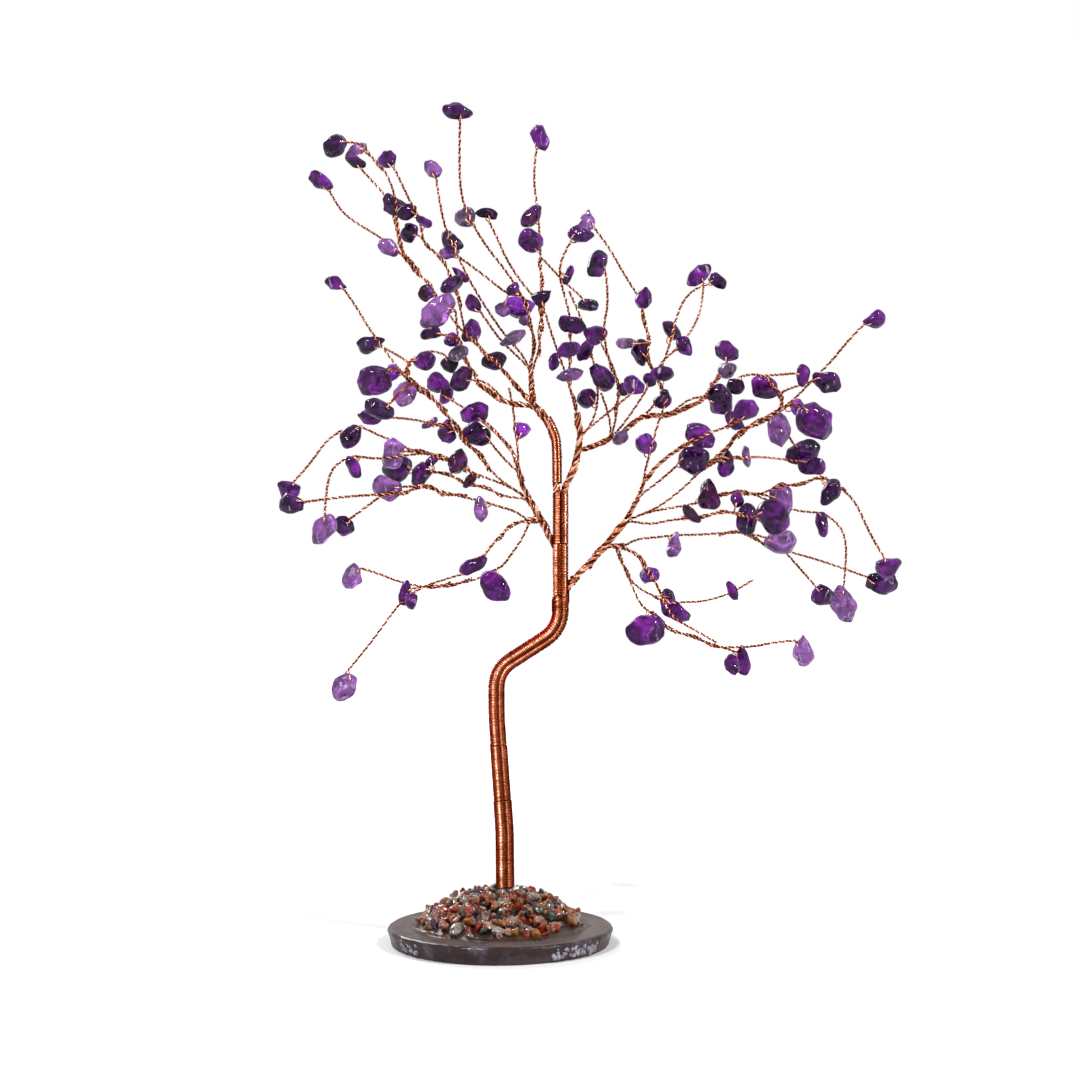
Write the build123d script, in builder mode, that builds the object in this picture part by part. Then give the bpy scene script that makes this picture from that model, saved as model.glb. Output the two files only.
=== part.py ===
from build123d import *
import os
from math import atan2, cos, degrees, floor, hypot, pi, radians, sin, sqrt

# A wire tree ornament: bundles of copper wire, bound into a trunk, spread into twisted
# twigs that carry drilled amethyst chips, on a heap of gravel chips on an agate slice.
# The tree faces -Y. The origin is the centre of the slice's underside, and +Z is up.

# How a place in the photograph becomes a place in the model
photo_mm_per_px = 0.30
view_distance = 600.0
view_height = 120.9
view_side = 11.8
middle_px = 540
crown_depth = 62.0

# Agate slice
slice_radius = 34.0
slice_thickness = 5.5
slice_taper = 1.2
slice_edge = 0.5

# Heap of glue and gravel
heap_radius = 25.0
heap_height = 9.6
puddle_radius = 27.5
puddle_height = 0.4
chip_radius = 2.0
chip_height = 2.7
chip_gap = 0.3
chip_lift = 0.1
heap_rings = 5
heap_top_radius = 3.6
chip_taper_share = 0.62
chip_turns = (0, 40, 15, 62, 28, 51)
minerals = ("clear", "rose", "carnelian", "citrine", "moss", "amethyst")
mineral_order = ("clear", "carnelian", "rose", "moss", "citrine", "clear", "amethyst", "rose",
                 "clear", "carnelian", "moss", "clear", "citrine")

# Copper wire
wire = 0.40
twist_width = 0.84
bundle_width = 2.0
bundle_gap = 0.04
bundle_sides = 6
sleeve_sides = 8
wrap_wire = 0.30
wrap_seat = 0.08
wound_wire = 0.34
wound_pitch = 0.86
wound_seat = 0.05
wound_turns = 4
wound_arcs = 4
turn_steps = 24
wound_sides = 4
bough_width = 1.5
sprig_width = 1.2
least_turn = 1.0

# Trunk line and its steps
lower_bend_radius = 9.0
upper_bend_radius = 10.0
lean_radius = 70.0
root_height = 6.6
trunk_px = ((505.5, 905), (504.6, 831), (496.5, 715), (496.5, 670), (560.5, 629), (560.5, 560))
trunk_top_px = 493
lower_step_px = 800
middle_step_px = 745
fork_px = 597
fork_gap_px = 12
left_exit_px = 545
step_gap_px = 9.5
exit_gap_px = 2.2
crown_wrap_px = 483
crown_bend_px = 446
crown_foot_px = 557
crown_turn_px = (554.5, 432)
crown_tie_px = (547, 419)
crown_layers = 1.5

# Stones
hook_gap = 1.0
leg_room = 0.34
bore_play = 0.12
bore_share = 0.42
cap_share = 0.60
stone_gap = 0.95
overrun = 1.0
least_reach_px = 1
search_step_px = 0.5

os.makedirs("parts", exist_ok=True)


# Places

def place(x_px, y_px, depth_share):
    """A point seen at this pixel, this share of the crown's depth behind the trunk."""
    depth = depth_share * crown_depth
    reach = photo_mm_per_px * (view_distance + depth) / view_distance
    return Vector(
        view_side + (x_px - middle_px) * reach,
        depth,
        view_height - (y_px - middle_px) * reach,
    )


def height_of(y_px):
    return view_height - (y_px - middle_px) * photo_mm_per_px


def side_of(x_px):
    return view_side + (x_px - middle_px) * photo_mm_per_px


# The right bough is the left one turned over and a little larger
twin_origin_px = (1291.7, 71.6)
twin_x_shares = (-1.0868, -0.1849)
twin_y_shares = (-0.2327, 1.1487)
twin_depth_share = -0.92
twin_area_share = 1.2914


def twin_point(x_px, y_px):
    return (
        twin_origin_px[0] + twin_x_shares[0] * x_px + twin_x_shares[1] * y_px,
        twin_origin_px[1] + twin_y_shares[0] * x_px + twin_y_shares[1] * y_px,
    )


# Routes of the twisted twigs, as name: (parent, depth share at the end, pixels).
# A twig starts on its parent, where the parent passes nearest to its first pixel.
left_routes = {
    "upper": ("bough", 0.34, [(527, 497), (523, 486), (519, 470), (517, 459), (508, 446),
                              (497, 433), (484, 421)]),
    "upper_low": ("upper", 0.16, [(520, 474), (509, 464), (499, 453), (491, 443)]),
    "upper_far": ("upper", 0.66, [(505, 443), (497, 434), (470, 411), (452, 401), (441, 393)]),
    "bright": ("upper", 0.14, [(519, 468), (518, 448), (515, 430), (514, 412), (509, 388)]),
    "mid": ("bough", -0.02, [(527, 498), (512, 488), (500, 480), (482, 461), (469, 443),
                             (452, 422), (441, 406), (430, 395), (414, 384), (403, 374)]),
    "crest": ("mid", 0.30, [(406, 377), (396, 366), (382, 346), (368, 327), (356, 306),
                            (347, 292)]),
    "crest_low": ("mid", -0.36, [(405, 376), (396, 367), (385, 372)]),
    "crest_side": ("mid", 0.16, [(406, 377), (407, 367), (411, 360)]),
    "crest_back": ("crest_side", 0.46, [(409, 363), (398, 355), (386, 348)]),
    "crest_bar": ("crest_side", 0.42, [(410, 362), (420, 354), (434, 350), (444, 352)]),
    "leaf": ("mid", -0.58, [(412, 382), (401, 391), (393, 401)]),
    "fall_start": ("mid", -0.02, [(458, 430), (446, 426), (432, 425)]),
    "fall": ("fall_start", -0.42, [(432, 425), (416, 419), (399, 416)]),
    "kite": ("bough", -0.26, [(524, 497), (508, 486), (492, 480), (476, 474), (462, 468),
                              (447, 460), (430, 452), (408, 451)]),
    "drift": ("kite", -0.72, [(422, 452), (394, 457), (378, 459), (361, 457), (352, 456),
                              (336, 464), (329, 476), (326, 495), (325, 512)]),
    "arch": ("kite", 0.02, [(411, 451), (398, 442), (380, 436), (361, 426), (347, 428),
                            (336, 433)]),
    "arch_low": ("arch", 0.24, [(340, 431), (326, 441), (314, 458), (302, 473), (294, 481)]),
    "dark": ("bough", 0.26, [(525, 498), (506, 497), (488, 489), (470, 484), (452, 476),
                             (432, 471)]),
    "dark_low": ("dark", 0.52, [(436, 472), (424, 473), (411, 471)]),
    "swing": ("bough_low", -0.52, [(526, 519), (515, 511), (500, 507), (482, 501), (462, 497),
                                   (437, 490), (417, 486), (402, 487)]),
    "long": ("swing", -0.96, [(424, 488), (398, 494), (372, 495), (341, 497), (305, 502)]),
    "long_low": ("long", -0.50, [(384, 495), (366, 507), (352, 517)]),
    "drop": ("bough_low", -0.30, [(526, 520), (508, 528), (494, 542), (485, 555)]),
    "low": ("bough_low", 0.24, [(531, 521), (523, 538), (510, 556), (503, 566), (492, 571),
                                (474, 581), (446, 585), (417, 586)]),
    "low_top": ("drop", 0.14, [(491, 546), (474, 571), (452, 577), (430, 584)]),
    "low_end": ("low", 0.48, [(426, 586), (396, 581), (378, 573), (361, 568)]),
    "low_fall": ("low", 0.14, [(424, 586), (403, 600), (390, 616), (371, 643), (349, 668)]),
}

# Stones as (route, side, middle, long and short way, turn, kind), in pixels and degrees.
# A stone with side 0 ends its route, 1 hangs behind the route and -1 before it.
left_stones = [
    ("upper", 0, (475, 413), (27, 20), 25, "oval"),
    ("upper_low", 0, (477, 434), (27, 23), -20, "bean"),
    ("upper_far", 0, (437, 383), (20, 17), -15, "chunk"),
    ("upper_far", 1, (446, 394), (20, 12), 55, "rod"),
    ("bright", 1, (521, 430), (18, 15), 35, "chunk"),
    ("mid", 1, (447, 431), (25, 18), 70, "drop"),
    ("mid", -1, (405, 394), (33, 20), 75, "leaf"),
    ("crest", 0, (336, 284), (20, 15), -20, "drop"),
    ("crest_low", 0, (374, 380), (32, 27), 5, "chunk"),
    ("crest_low", 1.9, (391, 372), (17, 15), 40, "chunk"),
    ("crest_side", 0, (424, 361), (22, 19), 10, "oval"),
    ("crest_back", 0, (371, 344), (26, 18), 20, "drop"),
    ("crest_bar", 0, (450, 365), (17, 14), -10, "oval"),
    ("leaf", 0, (381, 409), (29, 19), -25, "bean"),
    ("fall", 0, (370, 418), (24, 15), -15, "oval"),
    ("fall", 1, (430, 423), (19, 11), 30, "leaf"),
    ("kite", -1, (458, 461), (25, 21), 75, "triangle"),
    ("kite", 0, (393, 453), (30, 20), 85, "oval"),
    ("drift", -1, (353, 466), (22, 9), 86, "rod"),
    ("drift", 0, (323, 530), (31, 22), 60, "leaf"),
    ("arch", -1, (350, 437), (27, 19), 75, "leaf"),
    ("arch_low", 0, (290, 490), (22, 20), 10, "triangle"),
    ("dark", 0, (421, 474), (27, 18), 80, "oval"),
    ("dark", -1, (470, 481), (19, 11), 35, "leaf"),
    ("dark", 1, (432, 461), (13, 10), 60, "chunk"),
    ("dark_low", 0, (397, 468), (30, 26), 60, "chunk"),
    ("swing", -1, (481, 509), (25, 14), 80, "drop"),
    ("swing", 0, (387, 488), (29, 21), -10, "bean"),
    ("long", 0, (291, 504), (26, 20), -15, "bean"),
    ("long_low", 0, (343, 526), (21, 17), -30, "oval"),
    ("drop", 0, (473, 565), (31, 15), 20, "oval"),
    ("low", -1, (495, 587), (38, 25), -55, "oval"),
    ("low", 0, (405, 593), (26, 14), 80, "drop"),
    ("low", -2.6, (411, 601), (24, 14), -75, "drop"),
    ("low_end", 0, (352, 575), (26, 18), 80, "drop"),
    ("low_fall", 0, (344, 687), (28, 22), 60, "chunk"),
]

# Which group of the left bough each route belongs to
left_groups = {
    "upper": ("upper", "upper_low", "upper_far", "bright"),
    "crest": ("mid", "crest", "crest_low", "crest_side", "crest_back", "crest_bar", "leaf",
              "fall_start", "fall"),
    "outer": ("kite", "drift", "arch", "arch_low", "dark", "dark_low"),
    "lower": ("bough_low", "swing", "long", "long_low", "drop", "low", "low_top",
              "low_end", "low_fall"),
}

left_bough_px = ((550, 539), (543, 523), (535, 508), (527, 498))
left_bough_low_px = ((541, 519), (533, 519), (527, 519.5))
right_bough_px = ((574, 578), (593, 560), (606, 545), (619, 529), (627, 520))
right_bough_low_px = ((605, 547), (614, 546), (624, 545))
left_bough_depth_share = 0.05
left_low_depth_share = 0.0
right_bough_depth_share = 0.06
right_low_depth_share = 0.08

# Twigs that only one of the two boughs has
left_only = ("low_fall",)
right_routes = {
    "tip": ("crest_bar", -0.50, [(761, 377), (776, 375), (792, 373)]),
    "top": ("shoulder", -0.02, [(728, 374), (729, 362)]),
    "hang": ("drop", 0.34, [(640, 560), (643, 566)]),
    "veil": ("low", 0.62, [(629, 581), (641, 590), (656, 597), (668, 604), (684, 602),
                           (702, 602), (727, 595), (740, 588), (753, 580)]),
}
right_stones = [
    ("tip", 0, (803, 375), (23, 13), 80, "oval"),
    ("top", 0, (727, 352), (24, 17), -35, "oval"),
    ("crest_bar", -1, (755, 399), (22, 16), 20, "oval"),
    ("hang", 0, (649, 575), (18, 15), 20, "chunk"),
    ("veil", 1.5, (670, 600), (29, 15), -15, "bean"),
    ("veil", -1, (733, 591), (21, 12), -65, "leaf"),
]

# The shoulder that the right bough shares with the crown
right_shoulder_px = ((643, 414), (654, 416), (672, 415), (689, 407), (703, 400))
right_shoulder_depth_share = 0.16
right_shoulder_routes = {
    "shoulder": ("right_shoulder", 0.30, [(480, 385), (472, 372), (466, 358)]),
    "elbow": ("right_shoulder", 0.02, [(488, 391), (476, 380)]),
    "strand": ("right_shoulder", -0.10, [(505, 402), (496, 391), (486, 382), (475, 379)]),
}
right_shoulder_stones = [
    ("shoulder", -1, (459, 353), (20, 13), -15, "oval"),
    ("elbow", 0, (461, 379), (26, 19), 70, "chunk"),
]
right_extras = {"crest": ("tip",), "lower": ("hang", "veil")}

# The crown
crown_routes = {
    "shoulder": ("crown_left", -0.46, [(480, 385), (472, 372), (466, 358), (458, 343),
                                       (457, 324), (455, 306)]),
    "shard": ("shoulder", -0.60, [(457, 338), (447, 335)]),
    "elbow": ("crown_left", -0.02, [(488, 391), (476, 380)]),
    "strand": ("crown_left", 0.10, [(505, 402), (496, 391), (486, 382), (475, 379)]),
    "west": ("crown_back", 0.62, [(503, 371), (490, 357), (472, 341), (456, 324), (446, 310),
                                  (434, 291), (418, 272), (399, 252)]),
    "west_far": ("west", 0.92, [(403, 257), (386, 241), (370, 231), (350, 219), (338, 207),
                                (331, 193)]),
    "west_high": ("west", 0.50, [(406, 260), (400, 243), (397, 228), (396, 217)]),
    "west_lilac": ("west_high", 0.78, [(399, 237), (390, 202), (379, 188), (362, 170)]),
    "west_top": ("west_high", 0.14, [(399, 237), (397, 220), (396, 200), (389, 178), (378, 161),
                                     (365, 152)]),
    "west_tip": ("west_top", -0.04, [(370, 155), (362, 143), (346, 142)]),
    "chain": ("west", 0.16, [(465, 334), (461, 312), (456, 292), (449, 270), (438, 256),
                             (419, 235)]),
    "chain_top": ("chain", -0.16, [(424, 241), (419, 216), (410, 202), (401, 182),
                                   (393, 166)]),
    "pebble": ("west", 0.42, [(486, 353), (478, 345)]),
    "dusk": ("crown_back", 0.52, [(516, 385), (503, 372)]),
    "north": ("crown_up", -0.30, [(531, 371), (523, 355), (511, 343), (496, 323), (481, 300),
                                  (467, 276), (458, 256), (446, 231), (440, 205),
                                  (437, 181)]),
    "north_low": ("crown_up", -0.12, [(530, 371), (518, 357), (500, 340), (486, 320),
                                      (478, 308)]),
    "mast": ("crown_up", -0.66, [(531, 370), (534, 342), (530, 315), (519, 290), (503, 267),
                                 (485, 245), (468, 216), (461, 195), (459, 165),
                                 (460, 122)]),
    "cross": ("mast", -0.10, [(521, 296), (508, 295), (484, 275), (463, 259)]),
    "spire": ("crown_up", 0.24, [(532, 371), (541, 345), (541, 300), (541, 258), (539, 225),
                                 (537, 205), (533, 175), (536, 151)]),
    "bead": ("spire", -0.20, [(541, 305), (524, 286), (507, 261), (496, 235), (488, 220)]),
    "link": ("spire", 0.55, [(541, 256), (550, 267), (563, 281), (577, 293), (585, 301)]),
    "heart": ("centre_bough", -0.30, [(577, 413), (570, 388), (563, 366), (552, 336),
                                      (544, 311)]),
    "north_east": ("heart", -0.62, [(570, 386), (570, 352), (571, 322), (566, 300),
                                    (559, 277), (561, 258), (568, 244)]),
    "ladder": ("centre_bough", 0.20, [(580, 437), (592, 424), (599, 400), (595, 368),
                                      (588, 340), (579, 312), (569, 291)]),
    "stub": ("centre_right", 0.00, [(612, 437), (609, 413), (601, 393)]),
    "step": ("centre_right", -0.24, [(612, 436), (618, 408), (618, 384), (612, 363),
                                     (602, 346)]),
    "bow": ("step", -0.50, [(606, 352), (603, 327), (609, 301), (608, 276)]),
    "spray": ("centre_right", -0.06, [(612, 437), (632, 413), (647, 389)]),
    "twin_mast": ("centre_right", 0.36, [(612, 438), (631, 428), (650, 410), (663, 394),
                                         (657, 376), (648, 360), (648, 334), (643, 310),
                                         (637, 294)]),
    "twin_top": ("twin_mast", 0.10, [(639, 299), (622, 271), (609, 247), (597, 231)]),
    "east": ("twin_mast", 0.50, [(657, 378), (665, 359), (671, 340), (676, 318), (685, 297),
                                 (700, 286), (711, 284)]),
    "east_low": ("east", 0.84, [(664, 361), (679, 347), (693, 329), (702, 308), (704, 284)]),
    "sprig": ("centre_bough", -0.40, [(580, 436), (600, 419), (616, 406), (628, 397)]),
}

crown_stones = [
    ("shoulder", 0, (437, 312), (42, 26), 50, "leaf"),
    ("shoulder", -1, (459, 353), (20, 13), -15, "oval"),
    ("shoulder", 1, (452, 339), (17, 13), 70, "oval"),
    ("shard", 0, (431, 334), (19, 12), 20, "rod"),
    ("elbow", 0, (461, 379), (26, 19), 70, "chunk"),
    ("west", 0, (388, 248), (24, 15), -50, "leaf"),
    ("west", -1, (426, 294), (17, 15), 30, "oval"),
    ("west_far", 0, (322, 182), (31, 16), -25, "drop"),
    ("west_high", 0, (396, 206), (25, 21), -10, "triangle"),
    ("west_lilac", 0, (356, 161), (23, 12), -30, "bean"),
    ("west_top", 0, (355, 150), (24, 11), 40, "leaf"),
    ("west_tip", 0, (334, 146), (22, 20), 35, "chunk"),
    ("chain", 0, (409, 233), (18, 15), 60, "chunk"),
    ("chain", -1, (452, 285), (27, 13), 0, "rod"),
    ("chain", 1, (461, 275), (20, 9), -30, "leaf"),
    ("chain_top", 0, (388, 159), (20, 15), 20, "oval"),
    ("chain_top", 1, (408, 212), (19, 16), 40, "oval"),
    ("chain_top", -1, (424, 222), (23, 11), 30, "leaf"),
    ("pebble", 0, (472, 331), (26, 17), 50, "oval"),
    ("dusk", 0, (495, 361), (24, 16), 10, "oval"),
    ("north", 0, (432, 169), (19, 15), -50, "oval"),
    ("north", 1, (452, 242), (23, 18), -30, "triangle"),
    ("north", -1, (513, 338), (30, 15), 55, "leaf"),
    ("north_low", 0, (473, 304), (20, 12), -65, "oval"),
    ("mast", 0, (459, 112), (31, 17), -5, "drop"),
    ("mast", 1, (466, 217), (22, 18), 0, "oval"),
    ("mast", 1, (519, 307), (30, 24), 10, "triangle"),
    ("mast", -1, (514, 288), (16, 11), 25, "bean"),
    ("mast", -1, (524, 322), (14, 9), -45, "leaf"),
    ("cross", 0, (450, 253), (20, 12), 10, "oval"),
    ("cross", 1, (503, 310), (16, 13), -40, "oval"),
    ("spire", 0, (540, 138), (30, 15), -60, "bean"),
    ("spire", -1, (531, 217), (28, 17), 35, "oval"),
    ("spire", -1, (530, 241), (25, 20), -50, "chunk"),
    ("bead", 0, (486, 214), (23, 10), 5, "leaf"),
    ("link", 0, (588, 306), (20, 11), -5, "rod"),
    ("heart", 0, (543, 297), (20, 15), 30, "triangle"),
    ("heart", -1, (570, 375), (26, 13), -5, "oval"),
    ("heart", -1, (554, 361), (18, 12), 55, "drop"),
    ("north_east", 0, (581, 234), (26, 18), -15, "drop"),
    ("north_east", -1, (569, 349), (22, 17), 40, "chunk"),
    ("north_east", -1, (572, 324), (28, 17), 30, "oval"),
    ("north_east", 1, (568, 275), (20, 10), 80, "drop"),
    ("ladder", -1, (602, 377), (29, 17), -65, "rod"),
    ("ladder", -1, (585, 352), (22, 14), 75, "leaf"),
    ("ladder", 1, (587, 398), (19, 17), -20, "chunk"),
    ("step", 0, (598, 335), (24, 20), 20, "triangle"),
    ("step", -1, (624, 389), (15, 12), -30, "oval"),
    ("bow", 0, (598, 264), (26, 18), 70, "rod"),
    ("spray", 0, (649, 380), (16, 12), -40, "leaf"),
    ("twin_mast", -1, (662, 374), (26, 16), -25, "oval"),
    ("twin_mast", 1, (640, 353), (36, 17), -70, "drop"),
    ("twin_mast", 1, (625, 343), (20, 11), 5, "rod"),
    ("twin_mast", -1, (663, 399), (22, 16), 70, "bean"),
    ("twin_mast", -1, (644, 297), (22, 17), 80, "drop"),
    ("twin_top", 0, (587, 221), (22, 16), 80, "drop"),
    ("east", 0, (717, 281), (20, 13), -40, "bean"),
    ("east", 1, (671, 331), (25, 16), -40, "oval"),
    ("east_low", 0, (699, 275), (27, 14), 45, "leaf"),
    ("east_low", -1, (685, 347), (20, 15), -55, "drop"),
    ("twin_mast", -1.8, (621, 437), (17, 14), 20, "triangle"),
    ("sprig", 0, (634, 385), (21, 18), -30, "bean"),
]

crown_groups = {
    "west": ("crown_back", "west", "west_far", "west_high", "west_lilac", "west_top",
             "west_tip", "chain", "chain_top", "pebble", "dusk"),
    "shoulder": ("crown_left", "shoulder", "shard", "elbow", "strand"),
    "north": ("crown_up", "north", "north_low", "mast", "cross", "spire", "bead", "link"),
    "centre": ("heart", "north_east", "ladder", "sprig"),
    "east": ("centre_right", "stub", "step", "bow", "spray", "twin_mast", "twin_top", "east",
             "east_low"),
}

crown_left_px = ((541, 411), (533, 406), (519, 405), (502, 401), (488, 391), (477, 383))
crown_up_px = ((538, 408), (533, 400), (531, 385), (531, 371))
crown_back_px = ((540, 410), (526, 396), (516, 385), (503, 371))
centre_bough_px = ((567, 483), (572, 473), (577, 457), (580, 439), (580, 426), (577, 413))
centre_right_px = ((579, 452), (590, 448), (600, 444), (611, 438))
crown_left_depth_share = -0.12
crown_up_depth_share = 0.02
crown_back_depth_share = 0.20
centre_depth_share = -0.06
centre_right_depth_share = 0.08

# Outlines of the stones, as shares of the long and the short way, in order round the edge
outline_shares = {
    "oval": ((0.50, 0.04), (0.30, 0.42), (-0.10, 0.50), (-0.42, 0.32), (-0.50, -0.08),
             (-0.26, -0.46), (0.22, -0.48)),
    "drop": ((0.50, 0.03), (0.12, 0.36), (-0.22, 0.50), (-0.48, 0.22), (-0.46, -0.22),
             (-0.16, -0.50), (0.20, -0.34)),
    "leaf": ((0.50, 0.10), (0.22, 0.46), (-0.16, 0.50), (-0.50, 0.08), (-0.34, -0.34),
             (0.06, -0.50), (0.38, -0.34)),
    "bean": ((0.50, -0.12), (0.40, 0.34), (0.06, 0.38), (-0.30, 0.50), (-0.50, 0.06),
             (-0.34, -0.42), (0.14, -0.50)),
    "chunk": ((0.48, -0.26), (0.50, 0.24), (0.16, 0.50), (-0.34, 0.44), (-0.50, 0.00),
              (-0.36, -0.46), (0.16, -0.50)),
    "triangle": ((0.50, 0.06), (0.10, 0.34), (-0.36, 0.50), (-0.50, 0.30), (-0.42, -0.30),
                 (-0.14, -0.50), (0.30, -0.28)),
    "rod": ((0.50, 0.12), (0.36, 0.48), (-0.34, 0.50), (-0.50, 0.16), (-0.46, -0.34),
            (0.10, -0.50), (0.44, -0.36)),
}
thickness_shares = {"oval": 0.62, "drop": 0.58, "leaf": 0.50, "bean": 0.62, "chunk": 0.68,
                    "triangle": 0.52, "rod": 0.80}
stone_leans = (12, -22, 4, 26, -12, 18, -28, -4)
cap_shift_shares = (0.05, -0.06, 0.02, -0.03, 0.07)


chip_outlines = (
    ((1.0, 0.0), (0.36, 0.90), (-0.74, 0.62), (-0.82, -0.48), (0.30, -0.94)),
    ((0.92, 0.28), (-0.10, 0.98), (-0.96, 0.12), (-0.38, -0.84), (0.66, -0.70)),
    ((0.84, 0.50), (-0.46, 0.86), (-0.98, -0.10), (-0.20, -0.96), (0.90, -0.34)),
)

# Wires

def tube(points, width, sides=4):
    """A bundle or a twisted pair of wires along straight runs with mitred corners."""
    corners = [points[0]]
    for point, after in zip(points[1:], points[2:]):
        if (point - corners[-1]).get_angle(after - point) > least_turn:
            corners.append(point)
    corners.append(points[-1])
    with BuildPart() as run:
        with BuildLine() as line:
            Polyline(*corners)
        with BuildSketch(Plane(origin=corners[0], z_dir=corners[1] - corners[0])):
            RegularPolygon(radius=width / 2, side_count=sides)
        sweep(path=line.line, transition=Transition.RIGHT)
    return run.part


class Route:
    """A twig, as the pixels it passes and the points that lie there."""

    def __init__(self, pixels, points):
        self.pixels = [tuple(pixel) for pixel in pixels]
        self.points = list(points)

    def run_lengths(self):
        return [hypot(b[0] - a[0], b[1] - a[1]) for a, b in zip(self.pixels, self.pixels[1:])]

    def at(self, travel):
        """The pixel, the point and the run at this many pixels from the start."""
        runs = self.run_lengths()
        for index, length in enumerate(runs):
            if travel <= length or index == len(runs) - 1:
                part = min(travel / length, 1)
                a, b = self.pixels[index], self.pixels[index + 1]
                pixel = (a[0] + (b[0] - a[0]) * part, a[1] + (b[1] - a[1]) * part)
                start, end = self.points[index], self.points[index + 1]
                return pixel, start + (end - start) * part, index
            travel -= length

    def points_near(self, pixel, reach_px):
        """Points of the route that lie within this many pixels of a pixel."""
        total = floor(sum(self.run_lengths()))
        spots = [self.at(travel) for travel in range(total + 1)]
        spots.append(self.at(self.nearest(*pixel)))
        miss = min(hypot(spot[0] - pixel[0], spot[1] - pixel[1]) for spot, _, _ in spots)
        reach_px = max(reach_px, miss)
        return [point for spot, point, _ in spots
                if hypot(spot[0] - pixel[0], spot[1] - pixel[1]) <= reach_px]

    def nearest(self, x_px, y_px):
        """How far along the route it passes nearest to this pixel."""
        best, travel = None, 0
        for (ax, ay), (bx, by), length in zip(self.pixels, self.pixels[1:], self.run_lengths()):
            part = ((x_px - ax) * (bx - ax) + (y_px - ay) * (by - ay)) / length ** 2
            part = max(0, min(1, part))
            miss = hypot(x_px - ax - (bx - ax) * part, y_px - ay - (by - ay) * part)
            if best is None or miss < best[0]:
                best = (miss, travel + part * length)
            travel += length
        return best[1]


def grow(parent, end_depth_share, pixels):
    """A route from the parent to the last pixel, its depth changing evenly on the way."""
    start_px, start, _ = parent.at(parent.nearest(*pixels[0]))
    pixels = [start_px] + [tuple(pixel) for pixel in pixels[1:]]
    runs = [hypot(b[0] - a[0], b[1] - a[1]) for a, b in zip(pixels, pixels[1:])]
    start_share = start.Y / crown_depth
    points, travel = [start], 0
    for pixel, run in zip(pixels[1:], runs):
        travel += run
        depth_share = start_share + (end_depth_share - start_share) * travel / sum(runs)
        points.append(place(*pixel, depth_share))
    return Route(pixels, points)


def eye(hook, bore_centre, bore_axis, rise):
    """The wire's loop: from the hook through the stone's bore and back, as a flat ring."""
    reach = (hook - bore_centre).length
    slant = hypot(reach, rise)
    inner_radius = reach * rise / (rise + slant)
    centre = (inner_radius, 0)
    corners = ((reach, 0), (0, rise), (0, -rise))
    grown = 1 + wire / 2 / inner_radius
    shrunk = 1 - wire / 2 / inner_radius
    across = (hook - bore_centre).normalized()
    with BuildPart() as loop:
        with BuildSketch(Plane(origin=bore_centre, x_dir=across, z_dir=across.cross(bore_axis))):
            Polygon(*[(centre[0] + (x - centre[0]) * grown, y * grown) for x, y in corners],
                    align=None)
            Polygon(*[(centre[0] + (x - centre[0]) * shrunk, y * shrunk) for x, y in corners],
                    align=None, mode=Mode.SUBTRACT)
        extrude(amount=wire / 2, both=True)
    return loop.part


# Stones

def edge_share(outline, x, y):
    """How far the outline lies from its middle along this direction."""
    length = hypot(x, y)
    x, y = x / length, y / length
    reach = 0
    for (ax, ay), (bx, by) in zip(outline, outline[1:] + outline[:1]):
        side = x * (by - ay) - y * (bx - ax)
        if side:
            along = (ax * (by - ay) - ay * (bx - ax)) / side
            part = (ax * y - ay * x) / side
            if along > 0 and -1e-9 <= part <= 1 + 1e-9:
                reach = max(reach, along)
    return reach


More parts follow.
